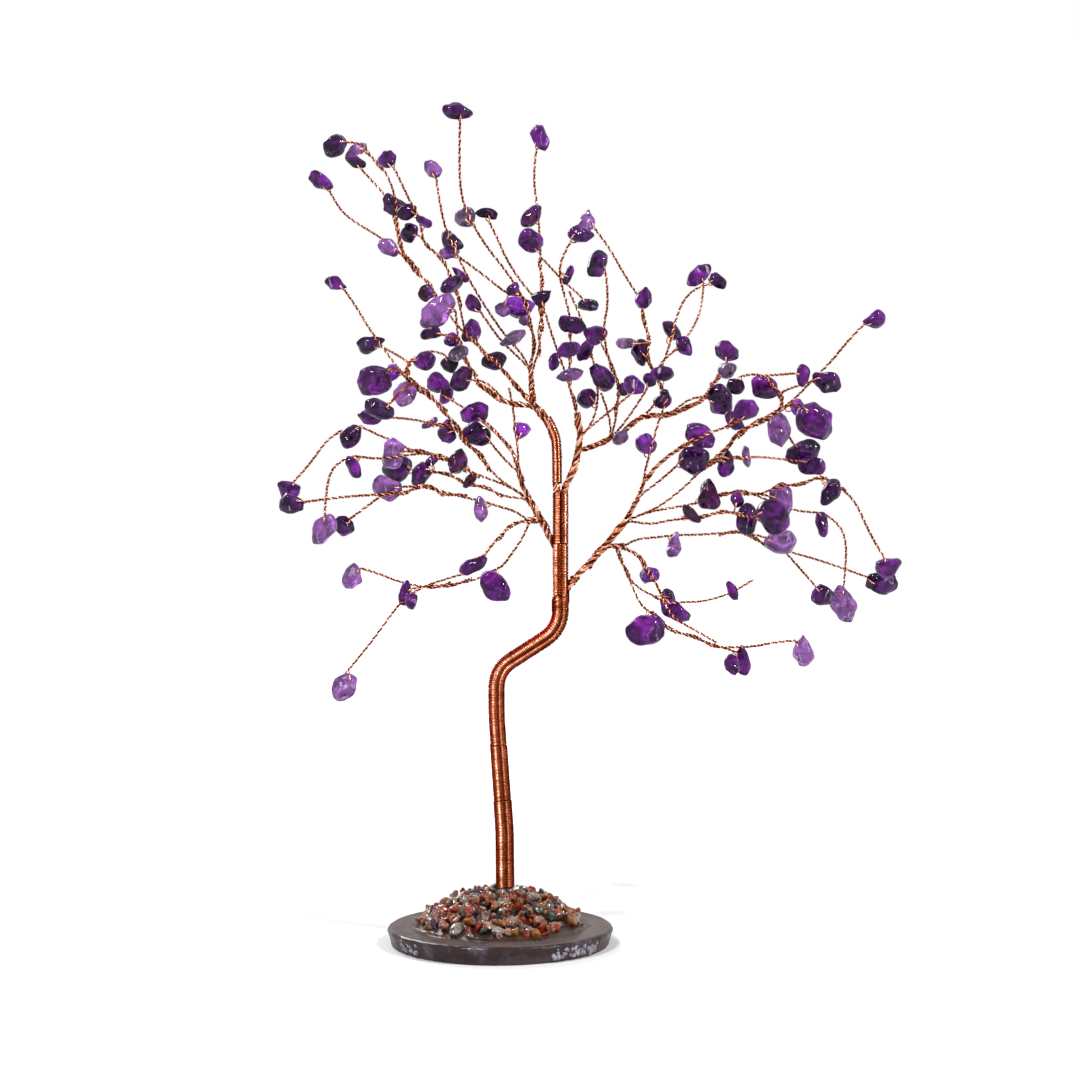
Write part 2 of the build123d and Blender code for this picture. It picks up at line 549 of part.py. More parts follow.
def hang_stone(route, side, middle_px_of_stone, size_px, turn, kind, mirrored, index):
    """Finds the stone's hook on its route, and returns what chip() and eye() need."""
    x_px, y_px = middle_px_of_stone
    flip = -1 if mirrored else 1
    outline = [(x * size_px[0], y * size_px[1] * flip) for x, y in outline_shares[kind]]
    along = (cos(radians(turn)), -sin(radians(turn)))
    half = thickness_shares[kind] * size_px[1] / 2 * photo_mm_per_px

    def hook_share(pixel):
        """How many times as far as this pixel the stone's hook lies, that way."""
        dx, dy = pixel[0] - x_px, pixel[1] - y_px
        reach = max(hypot(dx, dy), least_reach_px)
        edge = edge_share(outline, dx * along[0] + dy * along[1], dx * along[1] - dy * along[0])
        return (edge + hook_gap / photo_mm_per_px) / reach

    travel = route.nearest(x_px, y_px)
    while travel > least_reach_px and hook_share(route.at(travel)[0]) > 1:
        travel -= search_step_px
    pixel, hook, run = route.at(travel)
    if side == 0:
        share = hook_share(pixel)
        pixel = (x_px + (pixel[0] - x_px) * share, y_px + (pixel[1] - y_px) * share)
        hook = place(*pixel, hook.Y / crown_depth)
        route.pixels = route.pixels[:run + 1] + [pixel]
        route.points = route.points[:run + 1] + [hook]
    depth = hook.Y + side * (half + stone_gap)
    if side:
        passed = [point.Y for point in route.points_near((x_px, y_px), size_px[0] / 2)]
        nearest = max(passed) if side > 0 else min(passed)
        depth = nearest + side * (half + stone_gap)
    middle = place(x_px, y_px, depth / crown_depth)
    scale = photo_mm_per_px * (view_distance + depth) / view_distance
    toward = (hook - middle).normalized()
    axis = Vector(0, 1, 0)
    axis = (axis - toward * axis.dot(toward)).normalized()
    lean = stone_leans[index % len(stone_leans)]
    axis = axis.rotate(Axis((0, 0, 0), toward), lean)
    long_way = Vector(along[0], 0, -along[1])
    long_way = (long_way - axis * long_way.dot(axis)).normalized()
    plane = Plane(origin=middle, x_dir=long_way, z_dir=axis)
    short_way = plane.y_dir
    if short_way.Z * along[0] < 0 or (abs(along[0]) < 0.2 and short_way.X * along[1] < 0):
        outline = [(x, -y) for x, y in outline]
    outline = [(x * scale, y * scale) for x, y in outline]
    edge = edge_share(outline, toward.dot(long_way), toward.dot(short_way))
    bore_centre = middle + toward * (edge * bore_share)
    reach = (hook - bore_centre).length
    cap_reach = edge * (cap_share - bore_share)
    rise = max(
        (half + leg_room) / (1 - max(cap_reach, 0) / reach),
        leg_room / (1 - edge * (1 - bore_share) / reach),
    )
    return dict(plane=plane, outline=outline, half=half, bore_centre=bore_centre,
                toward=toward, hook=hook, rise=rise, index=index)


def chip(stone):
    """A tumbled chip: a full middle, two smaller faces, and a drilled hole for its wire."""
    plane, half = stone["plane"], stone["half"]
    shift = cap_shift_shares[stone["index"] % len(cap_shift_shares)] * half * 2
    levels = ((-half, cap_share, -shift), (0, 1, 0), (half, cap_share, shift))
    with BuildPart() as body:
        ConvexPolyhedron([
            plane.from_local_coords((x * share + move, y * share - move, level))
            for level, share, move in levels for x, y in stone["outline"]
        ])
        hole = Plane(origin=stone["bore_centre"], x_dir=stone["toward"], z_dir=plane.z_dir)
        with BuildSketch(hole):
            Rectangle(wire + 2 * bore_play, wire + 2 * bore_play)
        extrude(amount=half + overrun, both=True, mode=Mode.SUBTRACT)
    return body.part


def write_group(name, routes, widths, stones, grown_on):
    """Writes the fused wires of one spray, cut back to the wires they have grown on, and, as
    a node of separate solids, its stones."""
    with BuildPart() as wires:
        add([tube(route.points, width) for route, width in zip(routes, widths)])
        add([eye(stone["hook"], stone["bore_centre"], stone["plane"].z_dir, stone["rise"])
             for stone in stones])
        add(grown_on, mode=Mode.SUBTRACT)
    wires.part.label = f"{name}_wires"
    export_step(wires.part, f"parts/{name}_wires.step")
    chips = Compound(label=f"{name}_stones", children=[chip(stone) for stone in stones])
    export_step(chips, f"parts/{name}_stones.step")
    return wires.part


# Agate slice

with BuildPart() as agate_slice:
    with BuildSketch():
        Circle(slice_radius - slice_taper)
    with BuildSketch(Plane.XY.offset(slice_thickness)):
        Circle(slice_radius)
    loft(ruled=True)
    chamfer(agate_slice.edges().filter_by(GeomType.CIRCLE), length=slice_edge)
agate_slice.part.label = "agate_slice"
export_step(agate_slice.part, "parts/agate_slice.step")

# Trunk

column = bundle_width / 2 + bundle_gap / 2
wrap_round = bundle_width / 2 + wrap_seat
wrap_inside = 2 * column + wrap_seat
trunk_points = [(side_of(x), height_of(y)) for x, y in trunk_px]
trunk_points[0] = (trunk_points[0][0], root_height)
trunk_radii = (lean_radius, lean_radius, lower_bend_radius, upper_bend_radius)
stem_x = side_of(trunk_px[-1][0])


def trunk_path(low_z, high_z):
    """The trunk's centreline between two heights."""
    points, radii = [], []
    ends = list(zip(trunk_points, trunk_points[1:]))
    for index, ((ax, az), (bx, bz)) in enumerate(ends):
        top = index == len(ends) - 1
        for level in (low_z, high_z):
            if az <= level < bz or (top and level >= bz):
                part = (level - az) / (bz - az)
                points.append((ax + (bx - ax) * part, level))
        if low_z < bz < high_z and not top:
            points.append((bx, bz))
            radii.append(trunk_radii[index])
    points.sort(key=lambda point: point[1])
    with BuildLine(Plane.XZ) as path:
        if radii:
            FilletPolyline(*points, radius=radii)
        else:
            Line(*points)
    return path.line


def path_plane(path):
    """A plane square to the path's start, with X to the right and Y to the back."""
    along = path % 0
    return Plane(origin=path @ 0, x_dir=Vector(0, 1, 0).cross(along), z_dir=along)


def trunk_bundle(x, y, top_z):
    """One bundle of wires inside the trunk, from the slice up to its exit."""
    path = trunk_path(root_height, top_z)
    with BuildPart() as bundle:
        with BuildSketch(path_plane(path)):
            with Locations((x, y)):
                RegularPolygon(radius=bundle_width / 2, side_count=bundle_sides)
        sweep(path=path)
    return bundle.part


def cut_square(half, corner_radius):
    """The points of a square whose cut corners just clear round ones."""
    straight = half - corner_radius * (2 - sqrt(2))
    quarter = ((half, straight), (straight, half))
    return [(x * a - y * b, x * b + y * a)
            for a, b in ((1, 0), (0, 1), (-1, 0), (0, -1)) for x, y in quarter]


def wrap(low_z, high_z, layers):
    """A stretch of close-wound wrapping round the four bundles."""
    path = trunk_path(low_z, high_z)
    thickness = wrap_wire * layers
    with BuildPart() as sleeve:
        with BuildSketch(path_plane(path)):
            Polygon(*cut_square(wrap_inside + thickness, wrap_round + thickness), align=None)
            Polygon(*cut_square(wrap_inside, wrap_round), align=None, mode=Mode.SUBTRACT)
        sweep(path=path)
    return sleeve.part


with BuildPart() as roots_space:
    roots_path = trunk_path(root_height, slice_thickness + heap_height + overrun)
    with BuildSketch(path_plane(roots_path)):
        Polygon(*cut_square(wrap_inside, wrap_round), align=None)
    sweep(path=roots_path)

for name, low_z, high_z, layers in (
    ("lower_wrap", slice_thickness + heap_height + chip_lift, height_of(lower_step_px), 2),
    ("middle_wrap", height_of(lower_step_px), height_of(middle_step_px), 1.5),
    ("upper_wrap", height_of(middle_step_px), height_of(fork_px), 1),
):
    sleeve = wrap(low_z, high_z, layers)
    sleeve.label = name
    export_step(sleeve, f"parts/{name}.step")


def on_stem(x, y, y_px):
    """A point in the upper trunk, beside its centreline."""
    return Vector(stem_x + x, y, height_of(y_px))


# Boughs: each bundle leaves the trunk and goes on as a bough

boughs = {
    "left": (-column, column, left_exit_px - exit_gap_px, left_bough_px, left_bough_depth_share),
    "right": (column, column, fork_px - exit_gap_px, right_bough_px, right_bough_depth_share),
    "centre": (column, -column, trunk_top_px - exit_gap_px, centre_bough_px, centre_depth_share),
}
routes = {}
bough_solids = {}
for name, (x, y, exit_px, pixels, depth_share) in boughs.items():
    start = on_stem(x, y, exit_px)
    first = (middle_px + (start.X - view_side) / photo_mm_per_px, exit_px)
    inside = Route([(first[0], exit_px + exit_gap_px), first],
                   [start - Vector(0, 0, exit_gap_px * photo_mm_per_px), start])
    route = grow(inside, depth_share, [first] + list(pixels))
    routes[name] = route
    with BuildPart() as bough:
        add(trunk_bundle(x, y, start.Z))
        add(tube([start - Vector(0, 0, bundle_width)] + route.points, bundle_width, bundle_sides))
    bough.part.label = f"{name}_bough"
    export_step(bough.part, f"parts/{name}_bough.step")
    bough_solids[name] = bough.part

crown_foot = on_stem(-column, -column, crown_wrap_px)
crown_line = [crown_foot, on_stem(-column, -column, crown_bend_px)]
crown_line.append(place(*crown_turn_px, -column / crown_depth))
crown_line.append(place(*crown_tie_px, -column / crown_depth))
crown_pixels = [(crown_foot_px, crown_wrap_px), (crown_foot_px, crown_bend_px), crown_turn_px,
                crown_tie_px]
routes["crown"] = Route(crown_pixels, crown_line)
with BuildPart() as crown_bough:
    add(trunk_bundle(-column, -column, crown_foot.Z))
    add(tube([crown_foot - Vector(0, 0, bundle_width)] + crown_line[1:], bundle_width, bundle_sides))
crown_bough.part.label = "crown_bough"
export_step(crown_bough.part, "parts/crown_bough.step")
bough_solids["crown"] = crown_bough.part

# Wrappings of the upper trunk, which let go of one bundle after another


def stem_wrap(name, low_px, high_px, spots):
    """A wrapping round the bundles at these spots of the trunk."""
    plane = Plane(origin=on_stem(0, 0, low_px))
    with BuildSketch(plane) as outside:
        with Locations(*spots):
            Circle(wrap_round + wrap_wire)
        make_hull()
    with BuildSketch(plane) as inside:
        with Locations(*spots):
            Circle(wrap_round)
        make_hull()
    with BuildPart() as sleeve:
        length = height_of(high_px) - height_of(low_px)
        extrude(outside.sketch, amount=length)
        extrude(inside.sketch, amount=length, mode=Mode.SUBTRACT)
    sleeve.part.label = name
    export_step(sleeve.part, f"parts/{name}.step")


left_front, right_front, left_back = (-column, -column), (column, -column), (-column, column)
stem_wrap("fork_wrap", fork_px - fork_gap_px, left_exit_px, (left_front, right_front, left_back))
stem_wrap("stem_wrap", left_exit_px - step_gap_px, trunk_top_px, (left_front, right_front))

with BuildPart() as crown_wrap:
    with BuildLine() as crown_route:
        Polyline(*crown_line)
    with BuildSketch(Plane(origin=crown_foot)):
        RegularPolygon(wrap_round + crown_layers * wrap_wire, sleeve_sides, major_radius=False)
        RegularPolygon(wrap_round, sleeve_sides, major_radius=False, mode=Mode.SUBTRACT)
    sweep(path=crown_route.line, transition=Transition.RIGHT)
crown_wrap.part.label = "crown_wrap"
export_step(crown_wrap.part, "parts/crown_wrap.step")

# The last turns of the trunk's wrapping, below the fork, as one open winding

winding_radius = (wrap_inside - wrap_round) * sqrt(2) + wrap_round + wrap_wire
winding_radius += wound_wire / 2 + wound_seat
winding_foot = height_of(fork_px) - wound_pitch * wound_turns - wound_wire


def winding_point(turn):
    angle = 2 * pi * turn
    return Vector(
        stem_x + winding_radius * cos(angle),
        winding_radius * sin(angle),
        winding_foot + wound_pitch * turn,
    )


arc_spots = [winding_point(step / (2 * wound_arcs))
             for step in range(2 * wound_arcs * wound_turns + 1)]
with BuildPart() as winding:
    with BuildLine() as turns:
        for low, middle, high in zip(arc_spots[::2], arc_spots[1::2], arc_spots[2::2]):
            ThreePointArc(low, middle, high)
        first, last = turns.line @ 0, turns.line @ 1
        Line(first - (turns.line % 0) * wound_wire, first)
        Line(last, last + (turns.line % 1) * wound_wire)
    with BuildSketch(Plane(origin=turns.line @ 0, z_dir=turns.line % 0)):
        RegularPolygon(radius=wound_wire / 2, side_count=wound_sides)
    sweep(path=turns.line)
winding.part.label = "fork_winding"
export_step(winding.part, "parts/fork_winding.step")
turn_points = [winding_point(step / turn_steps) for step in range(turn_steps * wound_turns + 1)]
least_gap = min(
    (a - b).length for index, a in enumerate(turn_points)
    for b in turn_points[index + turn_steps // 2:]
) - wound_wire
print("least gap of the winding to itself", round(least_gap, 3))

# Sprays of twigs and stones

thick = {"bough_low": bough_width, "crown_left": bough_width, "crown_up": bough_width,
         "centre_right": bough_width, "upper": sprig_width, "crown_back": sprig_width,
         "right_shoulder": bough_width}


def turned_over(size, turn):
    """A left stone's size and turn as they are on the right bough."""
    tip = (cos(radians(turn)), -sin(radians(turn)))
    x = twin_x_shares[0] * tip[0] + twin_x_shares[1] * tip[1]
    y = twin_y_shares[0] * tip[0] + twin_y_shares[1] * tip[1]
    stretch = hypot(x, y)
    size = (size[0] * stretch, size[1] * twin_area_share / stretch)
    return size, degrees(atan2(-y, x))


def spread(table, stones, known, before, twin=False):
    """Grows each route, hangs its stones on it, and returns them by route. The number of
    stones hung before these picks how each one leans."""
    hung = {}
    index = before
    for name, (parent, end_share, pixels) in table.items():
        if twin and name in left_only:
            continue
        if twin:
            pixels = [twin_point(*pixel) for pixel in pixels]
            end_share *= twin_depth_share
        route = grow(known[parent], end_share, pixels)
        known[name] = route
        hung[name] = []
        mine = [stone for stone in stones if stone[0] == name]
        for _, side, middle, size, turn, kind in sorted(mine, key=lambda stone: abs(stone[1])):
            if twin:
                middle = twin_point(*middle)
                size, turn = turned_over(size, turn)
            hung[name].append(hang_stone(route, side, middle, size, turn, kind, twin, index))
            index += 1
    return hung


def count(hung):
    return sum(len(stones) for stones in hung.values())


def write_sprays(side, groups, known, hung, grown_on):
    """Writes every group of one side. Each is cut back to the ones before it."""
    for group, names in groups.items():
        routes_here = [known[name] for name in names]
        widths = [thick.get(name, twist_width) for name in names]
        stones = [stone for name in names for stone in hung.get(name, [])]
        grown_on = grown_on + [write_group(f"{side}_{group}", routes_here, widths, stones,
                                           grown_on)]
    return grown_on


left = {"bough": routes["left"]}
left["bough_low"] = grow(routes["left"], left_low_depth_share, list(left_bough_low_px))
left_hung = spread(left_routes, left_stones, left, 0)
hung_count = count(left_hung)
write_sprays("left", left_groups, left, left_hung, [bough_solids["left"]])

crown = {"centre_bough": routes["centre"]}
crown["crown_left"] = grow(routes["crown"], crown_left_depth_share, list(crown_left_px))
crown["crown_up"] = grow(crown["crown_left"], crown_up_depth_share, list(crown_up_px))
crown["crown_back"] = grow(crown["crown_left"], crown_back_depth_share, list(crown_back_px))
crown["centre_right"] = grow(routes["centre"], centre_right_depth_share, list(centre_right_px))
crown_hung = spread(crown_routes, crown_stones, crown, hung_count)
hung_count += count(crown_hung)
crown_solids = write_sprays("crown", crown_groups, crown, crown_hung,
                            [bough_solids["crown"], bough_solids["centre"]])

right = {"bough": routes["right"]}
right["bough_low"] = grow(routes["right"], right_low_depth_share, list(right_bough_low_px))
right_hung = spread(left_routes, left_stones, right, hung_count, twin=True)
shoulder_count = hung_count + count(right_hung)
right["right_shoulder"] = grow(crown["twin_mast"], right_shoulder_depth_share,
                               list(right_shoulder_px))
right_hung.update(spread(right_shoulder_routes, right_shoulder_stones, right, shoulder_count,
                         twin=True))
right_hung.update(spread(right_routes, right_stones, right, hung_count + count(right_hung)))
right_groups = {
    group: tuple(name for name in names if name not in left_only) + right_extras.get(group, ())
    for group, names in left_groups.items()
}
right_groups["shoulder"] = ("right_shoulder", "shoulder", "elbow", "strand", "top")
write_sprays("right", right_groups, right, right_hung, [bough_solids["right"], crown_solids[-1]])
print("stones", hung_count + count(right_hung))

# Heap of glue, and the gravel chips that lie on it

slope = atan2(heap_height, heap_radius - heap_top_radius)
with BuildPart() as glue_heap:
    with BuildSketch(Plane.XY.offset(slice_thickness)):
        Circle(puddle_radius)
    extrude(amount=puddle_height)
    with BuildSketch(Plane.XY.offset(slice_thickness)):
        Circle(heap_radius)
    with BuildSketch(Plane.XY.offset(slice_thickness + heap_height)):
        Circle(heap_top_radius)
    loft(ruled=True)
    add(roots_space.part, mode=Mode.SUBTRACT)
glue_heap.part.label = "glue_heap"
export_step(glue_heap.part, "parts/glue_heap.step")

gravel = {mineral: [] for mineral in minerals}
placed = 0
for ring in range(heap_rings):
    slope_way = puddle_height / sin(slope) + chip_radius + ring * (2 * chip_radius + chip_gap)
    ring_radius = heap_radius - slope_way * cos(slope)
    ring_height = slice_thickness + slope_way * sin(slope)
    count = floor(2 * pi * ring_radius / (2 * chip_radius + chip_gap))
    for spot in range(count):
        angle = 2 * pi * (spot + ring / 2) / count
        outward = Vector(cos(angle), sin(angle), 0)
        up = Vector(sin(slope) * cos(angle), sin(slope) * sin(angle), cos(slope))
        foot = outward * ring_radius + Vector(0, 0, ring_height) + up * chip_lift
        turn = chip_turns[placed % len(chip_turns)]
        outline = chip_outlines[placed % len(chip_outlines)]
        level = outward.cross(up).rotate(Axis((0, 0, 0), up), turn)
        plane = Plane(origin=foot, x_dir=level, z_dir=up)
        with BuildPart() as pebble:
            ConvexPolyhedron([
                plane.from_local_coords((x * chip_radius * share, y * chip_radius * share, height))
                for height, share in ((0, 1), (chip_height, chip_taper_share))
                for x, y in outline
            ])
        gravel[mineral_order[placed % len(mineral_order)]].append(pebble.part)
        placed += 1
for mineral, pebbles in gravel.items():
    group = Compound(label=f"gravel_{mineral}", children=pebbles)
    export_step(group, f"parts/gravel_{mineral}.step")
print("gravel chips", placed)
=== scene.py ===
import math
import bmesh
import bpy
import numpy as np
from mathutils import Matrix, Quaternion, Vector, noise


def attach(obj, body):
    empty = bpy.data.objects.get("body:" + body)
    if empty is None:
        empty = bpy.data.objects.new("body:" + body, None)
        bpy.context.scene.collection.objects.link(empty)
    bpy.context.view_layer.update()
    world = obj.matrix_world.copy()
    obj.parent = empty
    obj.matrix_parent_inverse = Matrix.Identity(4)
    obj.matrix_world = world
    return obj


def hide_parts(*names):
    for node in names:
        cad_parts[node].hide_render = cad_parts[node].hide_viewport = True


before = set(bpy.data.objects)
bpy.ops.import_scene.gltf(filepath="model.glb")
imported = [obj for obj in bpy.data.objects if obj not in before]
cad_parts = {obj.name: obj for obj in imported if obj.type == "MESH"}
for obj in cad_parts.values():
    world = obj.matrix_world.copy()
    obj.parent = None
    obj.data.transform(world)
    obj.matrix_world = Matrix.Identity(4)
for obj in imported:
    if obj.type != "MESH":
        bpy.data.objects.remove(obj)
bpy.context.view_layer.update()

bl_info = {
    "name": "Gemstone Wire Tree",
    "version": (1, 0, 0),
    "blender": (4, 5, 0),
    "location": "3D View > Sidebar > Wire Tree",
    "description": "Dresses the wire tree with twisted copper, polished chips and its agate slice",
    "category": "Object",
}

MM = 0.001

# How a place in the photograph becomes a place in the model
PHOTO_PX = 1080
PHOTO_M_PER_PX = 0.30 * MM
VIEW_DISTANCE = 600 * MM
VIEW_HEIGHT = 120.9 * MM
VIEW_SIDE = 11.8 * MM
MIDDLE_PX = 540
CROWN_DEPTH = 62 * MM

# Bundles of wire, and the trunk that four of them make
TWIST_WIDTH = 0.84 * MM
SPRIG_WIDTH = 1.2 * MM
BOUGH_WIDTH = 1.5 * MM
BUNDLE_WIDTH = 2.0 * MM
BUNDLE_GAP = 0.04 * MM
COLUMN = (BUNDLE_WIDTH + BUNDLE_GAP) / 2
ROOT_HEIGHT = 6.6 * MM
ROOT_PX = 888
TRUNK_PX = ((505.5, 905), (504.6, 831), (496.5, 715), (496.5, 670), (560.5, 629), (560.5, 560))
TRUNK_RADII = (70 * MM, 70 * MM, 9 * MM, 10 * MM, 50 * MM)
TRUNK_TOP_PX = 493
TRUNK_STEP = 0.5 * MM
ARC_STEP = math.radians(4)
LEFT_EXIT_PX = 545
EXIT_GAP_PX = 2.2
EXIT_RUN = 0.4 * MM
EXIT_STEPS = 8
CROWN_BOUGH_PX = ((557, 483), (557, 446), (554.5, 432), (547, 419))


# Places

def place(x_px, y_px, depth_share):
    """A point seen at this pixel, this share of the crown's depth behind the trunk."""
    depth = depth_share * CROWN_DEPTH
    reach = PHOTO_M_PER_PX * (VIEW_DISTANCE + depth) / VIEW_DISTANCE
    return Vector((
        VIEW_SIDE + (x_px - MIDDLE_PX) * reach,
        depth,
        VIEW_HEIGHT - (y_px - MIDDLE_PX) * reach,
    ))


def height_of(y_px):
    return VIEW_HEIGHT - (y_px - MIDDLE_PX) * PHOTO_M_PER_PX


def side_of(x_px):
    return VIEW_SIDE + (x_px - MIDDLE_PX) * PHOTO_M_PER_PX


STEM_X = side_of(TRUNK_PX[-1][0])

# How finely lines are drawn
SMOOTH_STEPS = 8
SAME_SPOT = 0.01 * MM
NEAR_STEP = 0.1 * MM

# Twisted wires: pitch in widths and steps in each turn, by the number of strands, and
# turns in radians that keep neighbours from looking alike
STRAND_SIDES = 6
BOUGH_STRANDS = 5
TWIST_PITCH = {2: 2.9, 3: 3.4, 4: 3.6, 5: 3.8}
TWIST_STEPS = {2: 12, 3: 14, 4: 16, 5: 18}
TWIST_WANDER = 0.35
WANDER_RATE = 2.3
SPREAD_TURN = 2.4
GROUP_TURN = 1.7

# Twigs thicker than a plain twisted pair: width and strands
THICK = {"bough_low": (BOUGH_WIDTH, 4), "crown_left": (BOUGH_WIDTH, 4),
         "crown_up": (BOUGH_WIDTH, 4), "centre_right": (BOUGH_WIDTH, 4),
         "upper": (SPRIG_WIDTH, 3), "crown_back": (SPRIG_WIDTH, 3),
         "right_shoulder": (BOUGH_WIDTH, 4)}

# How a twig lies beside its parent before it leaves it
JOIN_RUN = 8.0 * MM
JOIN_STEP = 2.0 * MM
JOIN_PITCH = 14 * MM
JOIN_GAP = 0.75 * MM
JOIN_LAST_SHARE = 0.4

# Close windings round the trunk, from its root up
LOWER_WRAP_PX = 887
LOWER_STEP_PX = 800
MIDDLE_STEP_PX = 745
FORK_PX = 597
TRUNK_TURN = math.radians(12)
WRAP_SEAT = 0.08 * MM
WRAP_LAYER = 0.30 * MM
WRAP_DENT = 0.5
STEM_DENT = 0.7
OVERLAP_PX = 1
WRAP_WIRE = 0.48 * MM
WRAP_SIDES = 6
WRAP_SLACK = 0.35
SLACK_RATES = (0.9, 0.13)
TURN_STEPS = 40
BUNDLE_STEPS = 60
SLEEVE_STEP = 0.6 * MM
SLEEVE_SINK = 0.25

# The last open turns below the fork
WOUND_WIRE = 0.46 * MM
WOUND_PX = 12
WOUND_OVER_PX = 3
WOUND_TILT = 1.5 * MM
WOUND_DENT = 0.4
WOUND_STREAKS = 0.85

# The knot on the right bough
KNOT_RUN = (2.6 * MM, 7.4 * MM)
KNOT_WIRE = 0.90 * MM
KNOT_PITCH = 1.1 * MM
KNOT_TILT = 0.9 * MM

# Copper darkened as painted shade, and by tarnish, as shares of its own colour; and how much
# painted light each wire has, from 0 for painted shade to 1 for painted highlight
TARNISH = 0.12
SHADE_AND_TARNISH = (0.55, 0.40, 0.32)
DEEP_SHADE_AND_TARNISH = (0.19, 0.09, 0.06)
# Painted light of the twisted strands, the first paler as painted highlight and the second dark as
# painted shade, with streaks of it along them; of the loops; and random dimming of it turn by turn
STRAND_PAINTED_LIGHT = (0.64, 0.0)
STREAK_PAINTED_LIGHT = 0.12
STREAK_LENGTH = 3 * MM
LOOP_PAINTED_LIGHT = (0.5, 0.25)
TURN_STREAKS = 0.22
# Painted light across a broad face of a winding, from its left edge to its right as seen from the
# front: stripes of painted highlight, with painted shade at the edges and in the middle groove
BANDS = ((-1, 0.0), (-0.85, 0.10), (-0.60, 0.22), (-0.46, 0.9), (-0.24, 0.9), (-0.12, 0.0),
         (0.28, 0.0), (0.38, 0.88), (0.52, 0.88), (0.62, 0.04), (1, 0.0))
STEM_BANDS = ((-1, 0.0), (-0.72, 0.0), (-0.62, 0.75), (-0.30, 0.80), (-0.16, 0.0),
              (0.48, 0.0), (0.56, 0.85), (0.74, 0.85), (0.84, 0.0), (1, 0.0))
KNOT_BANDS = ((-1, 0.1), (-0.3, 0.75), (0.3, 0.3), (1, 0.05))

# Chips on their loops
HOOK_GAP = 1.0 * MM
HOOK_STEP_PX = 0.5
STONE_GAP = 0.95 * MM
BORE_SHARE = 0.42
UPRIGHT_SHARE = 0.2
LOOP_WIRE = 0.40 * MM
LOOP_STEPS = 22
LOOP_ROOM = 0.42 * MM
LOOP_WIDEST = 0.77

# A chip's cage, which subdivision rounds off, and its dents as (size, depth)
CAP_SHARE = 0.60
CAGE_THICK = 1.35
CAGE_WIDE = 1.24
CREASE_RANGE = (0.05, 0.55)
CHIP_SEED = 11
CHIP_DENTS = ((3.8 * MM, 0.72 * MM), (1.3 * MM, 0.12 * MM))

# Each tone of chip: the tone it clears to and how strongly, its milkiness and its glow
TONE_FINISHES = {
    "violet": ("violet", 2.0, 0.0, 0.2),
    "dark": ("violet", 1.0, 0.0, 0.25),
    "red": ("violet", 1.0, 0.0, 0.25),
    "black": ("dark", 1.0, -0.1, 0.1),
    "lilac": ("lilac", 1.4, 0.05, 0.45),
    "grey": ("grey", 1.5, 0.04, 0.4),
    "bright": ("bright", 1.3, 0.04, 0.4),
}

# How much amethyst, and every other quartz, bends light
QUARTZ_IOR = 1.54

# Slice: its profile as millimetres inside the rim and above the table, from below, and
# the rim's slow waves and quick nicks as (rate, depth)
SLICE_RADIUS = 34 * MM
SLICE_THICKNESS = 5.5 * MM
SLICE_SIDES = 360
SLICE_PROFILE_MM = ((2.4, 0), (1.6, 0.15), (1.2, 0.6), (0.95, 1.6), (0.5, 3.0), (0, 4.3),
                    (0.15, 4.9), (0.6, 5.3), (1.3, 5.46), (2.2, 5.5), (6, 5.5), (17, 5.5))
RIM_POWER = 4
RIM_INSET = 0.3 * MM
RIM_WAVE = (1.6, 0.55 * MM)
RIM_NICK = (14, 0.22 * MM)
NICK_HEIGHT = 1.4 * MM
NICK_START = 0.6 * MM
NICK_TOP_SHARE = 0.3
RIM_FROST = (1.9 * MM, 0.9 * MM)

# Crystals in the rim: pits as (first degree, last degree, number), and shares of a
# crystal's radius or height
CRYSTAL_SEED = 5
CRYSTAL_PITS = ((-62, -30, 110), (-152, -136, 30), (20, 44, 30))
CRYSTAL_HEIGHTS_MM = (1.3, 4.6)
CRYSTAL_RADII_MM = (0.25, 0.80)
CRYSTAL_TALL = (1.2, 2.0)
CRYSTAL_LEAN = 0.7
CRYSTAL_SEAT = 1.6 * MM
CRYSTAL_RAKE = 0.12
CRYSTAL_NECK = 0.6
CRYSTAL_TIP = 1.15

# Glue: a heap with lumps as (size, height), and a puddle whose edge varies by
# (rate, share of its radius)
HEAP_RADIUS = 25 * MM
HEAP_TOP_RADIUS = 3.6 * MM
HEAP_HEIGHT = 9.6 * MM
HEAP_LUMP = (3 * MM, 0.8 * MM)
PUDDLE_RADIUS = 27.5 * MM
PUDDLE_HEIGHT = 0.4 * MM
PUDDLE_EDGE = 0.955
PUDDLE_LOBE = (2.6, 0.10)
PUDDLE_FRINGE = (9, 0.03)
PUDDLE_BANK = 0.8 * MM
GLUE_RINGS = 64
GLUE_SIDES = 220
GLUE_REACH = 1.02
GLUE_MIDDLE = 0.05 * MM
GLUE_SINK = 0.05 * MM

# Gravel: rings of large chips and small ones between, with sizes as shares of the radius
GRAVEL_SEED = 23
PEBBLE_RADIUS = 2.0 * MM
PEBBLE_STEP = 2 * PEBBLE_RADIUS + 0.3 * MM
PEBBLE_CORNERS = 13
PEBBLE_SHAPES = ((0.95, 0.62, 0.50), (1.35, 0.95, 0.80))
PEBBLE_DENTS = ((1.7 * MM, 0.14 * MM), (0.6 * MM, 0.05 * MM))
HEAP_RINGS = 5
RING_TURNS = (-0.2, 0.2)
RING_STRAY_MM = (-0.8, 0.6)
RING_LIFT_MM = (0.5, 1.3)
RING_SIZES = (1.15, 1.8)
FILLER_START = 0.02
FILLER_REACH = 0.97
GOLDEN_TURN = math.radians(137.5)
FILLER_TURNS = (-0.3, 0.3)
FILLER_DOME = (0.80, 1.02)
DOME_POWER = 2.6
FILLER_LIFT = 0.8 * MM
FILLER_SIZES = (0.75, 1.35)
MINERAL_ORDER = ("clear", "carnelian", "rose", "moss", "citrine", "clear", "amethyst", "rose",
                 "clear", "carnelian", "moss", "clear", "citrine")
FILLER_ORDER = ("clear", "rose", "carnelian", "citrine", "rose", "carnelian", "citrine", "moss")

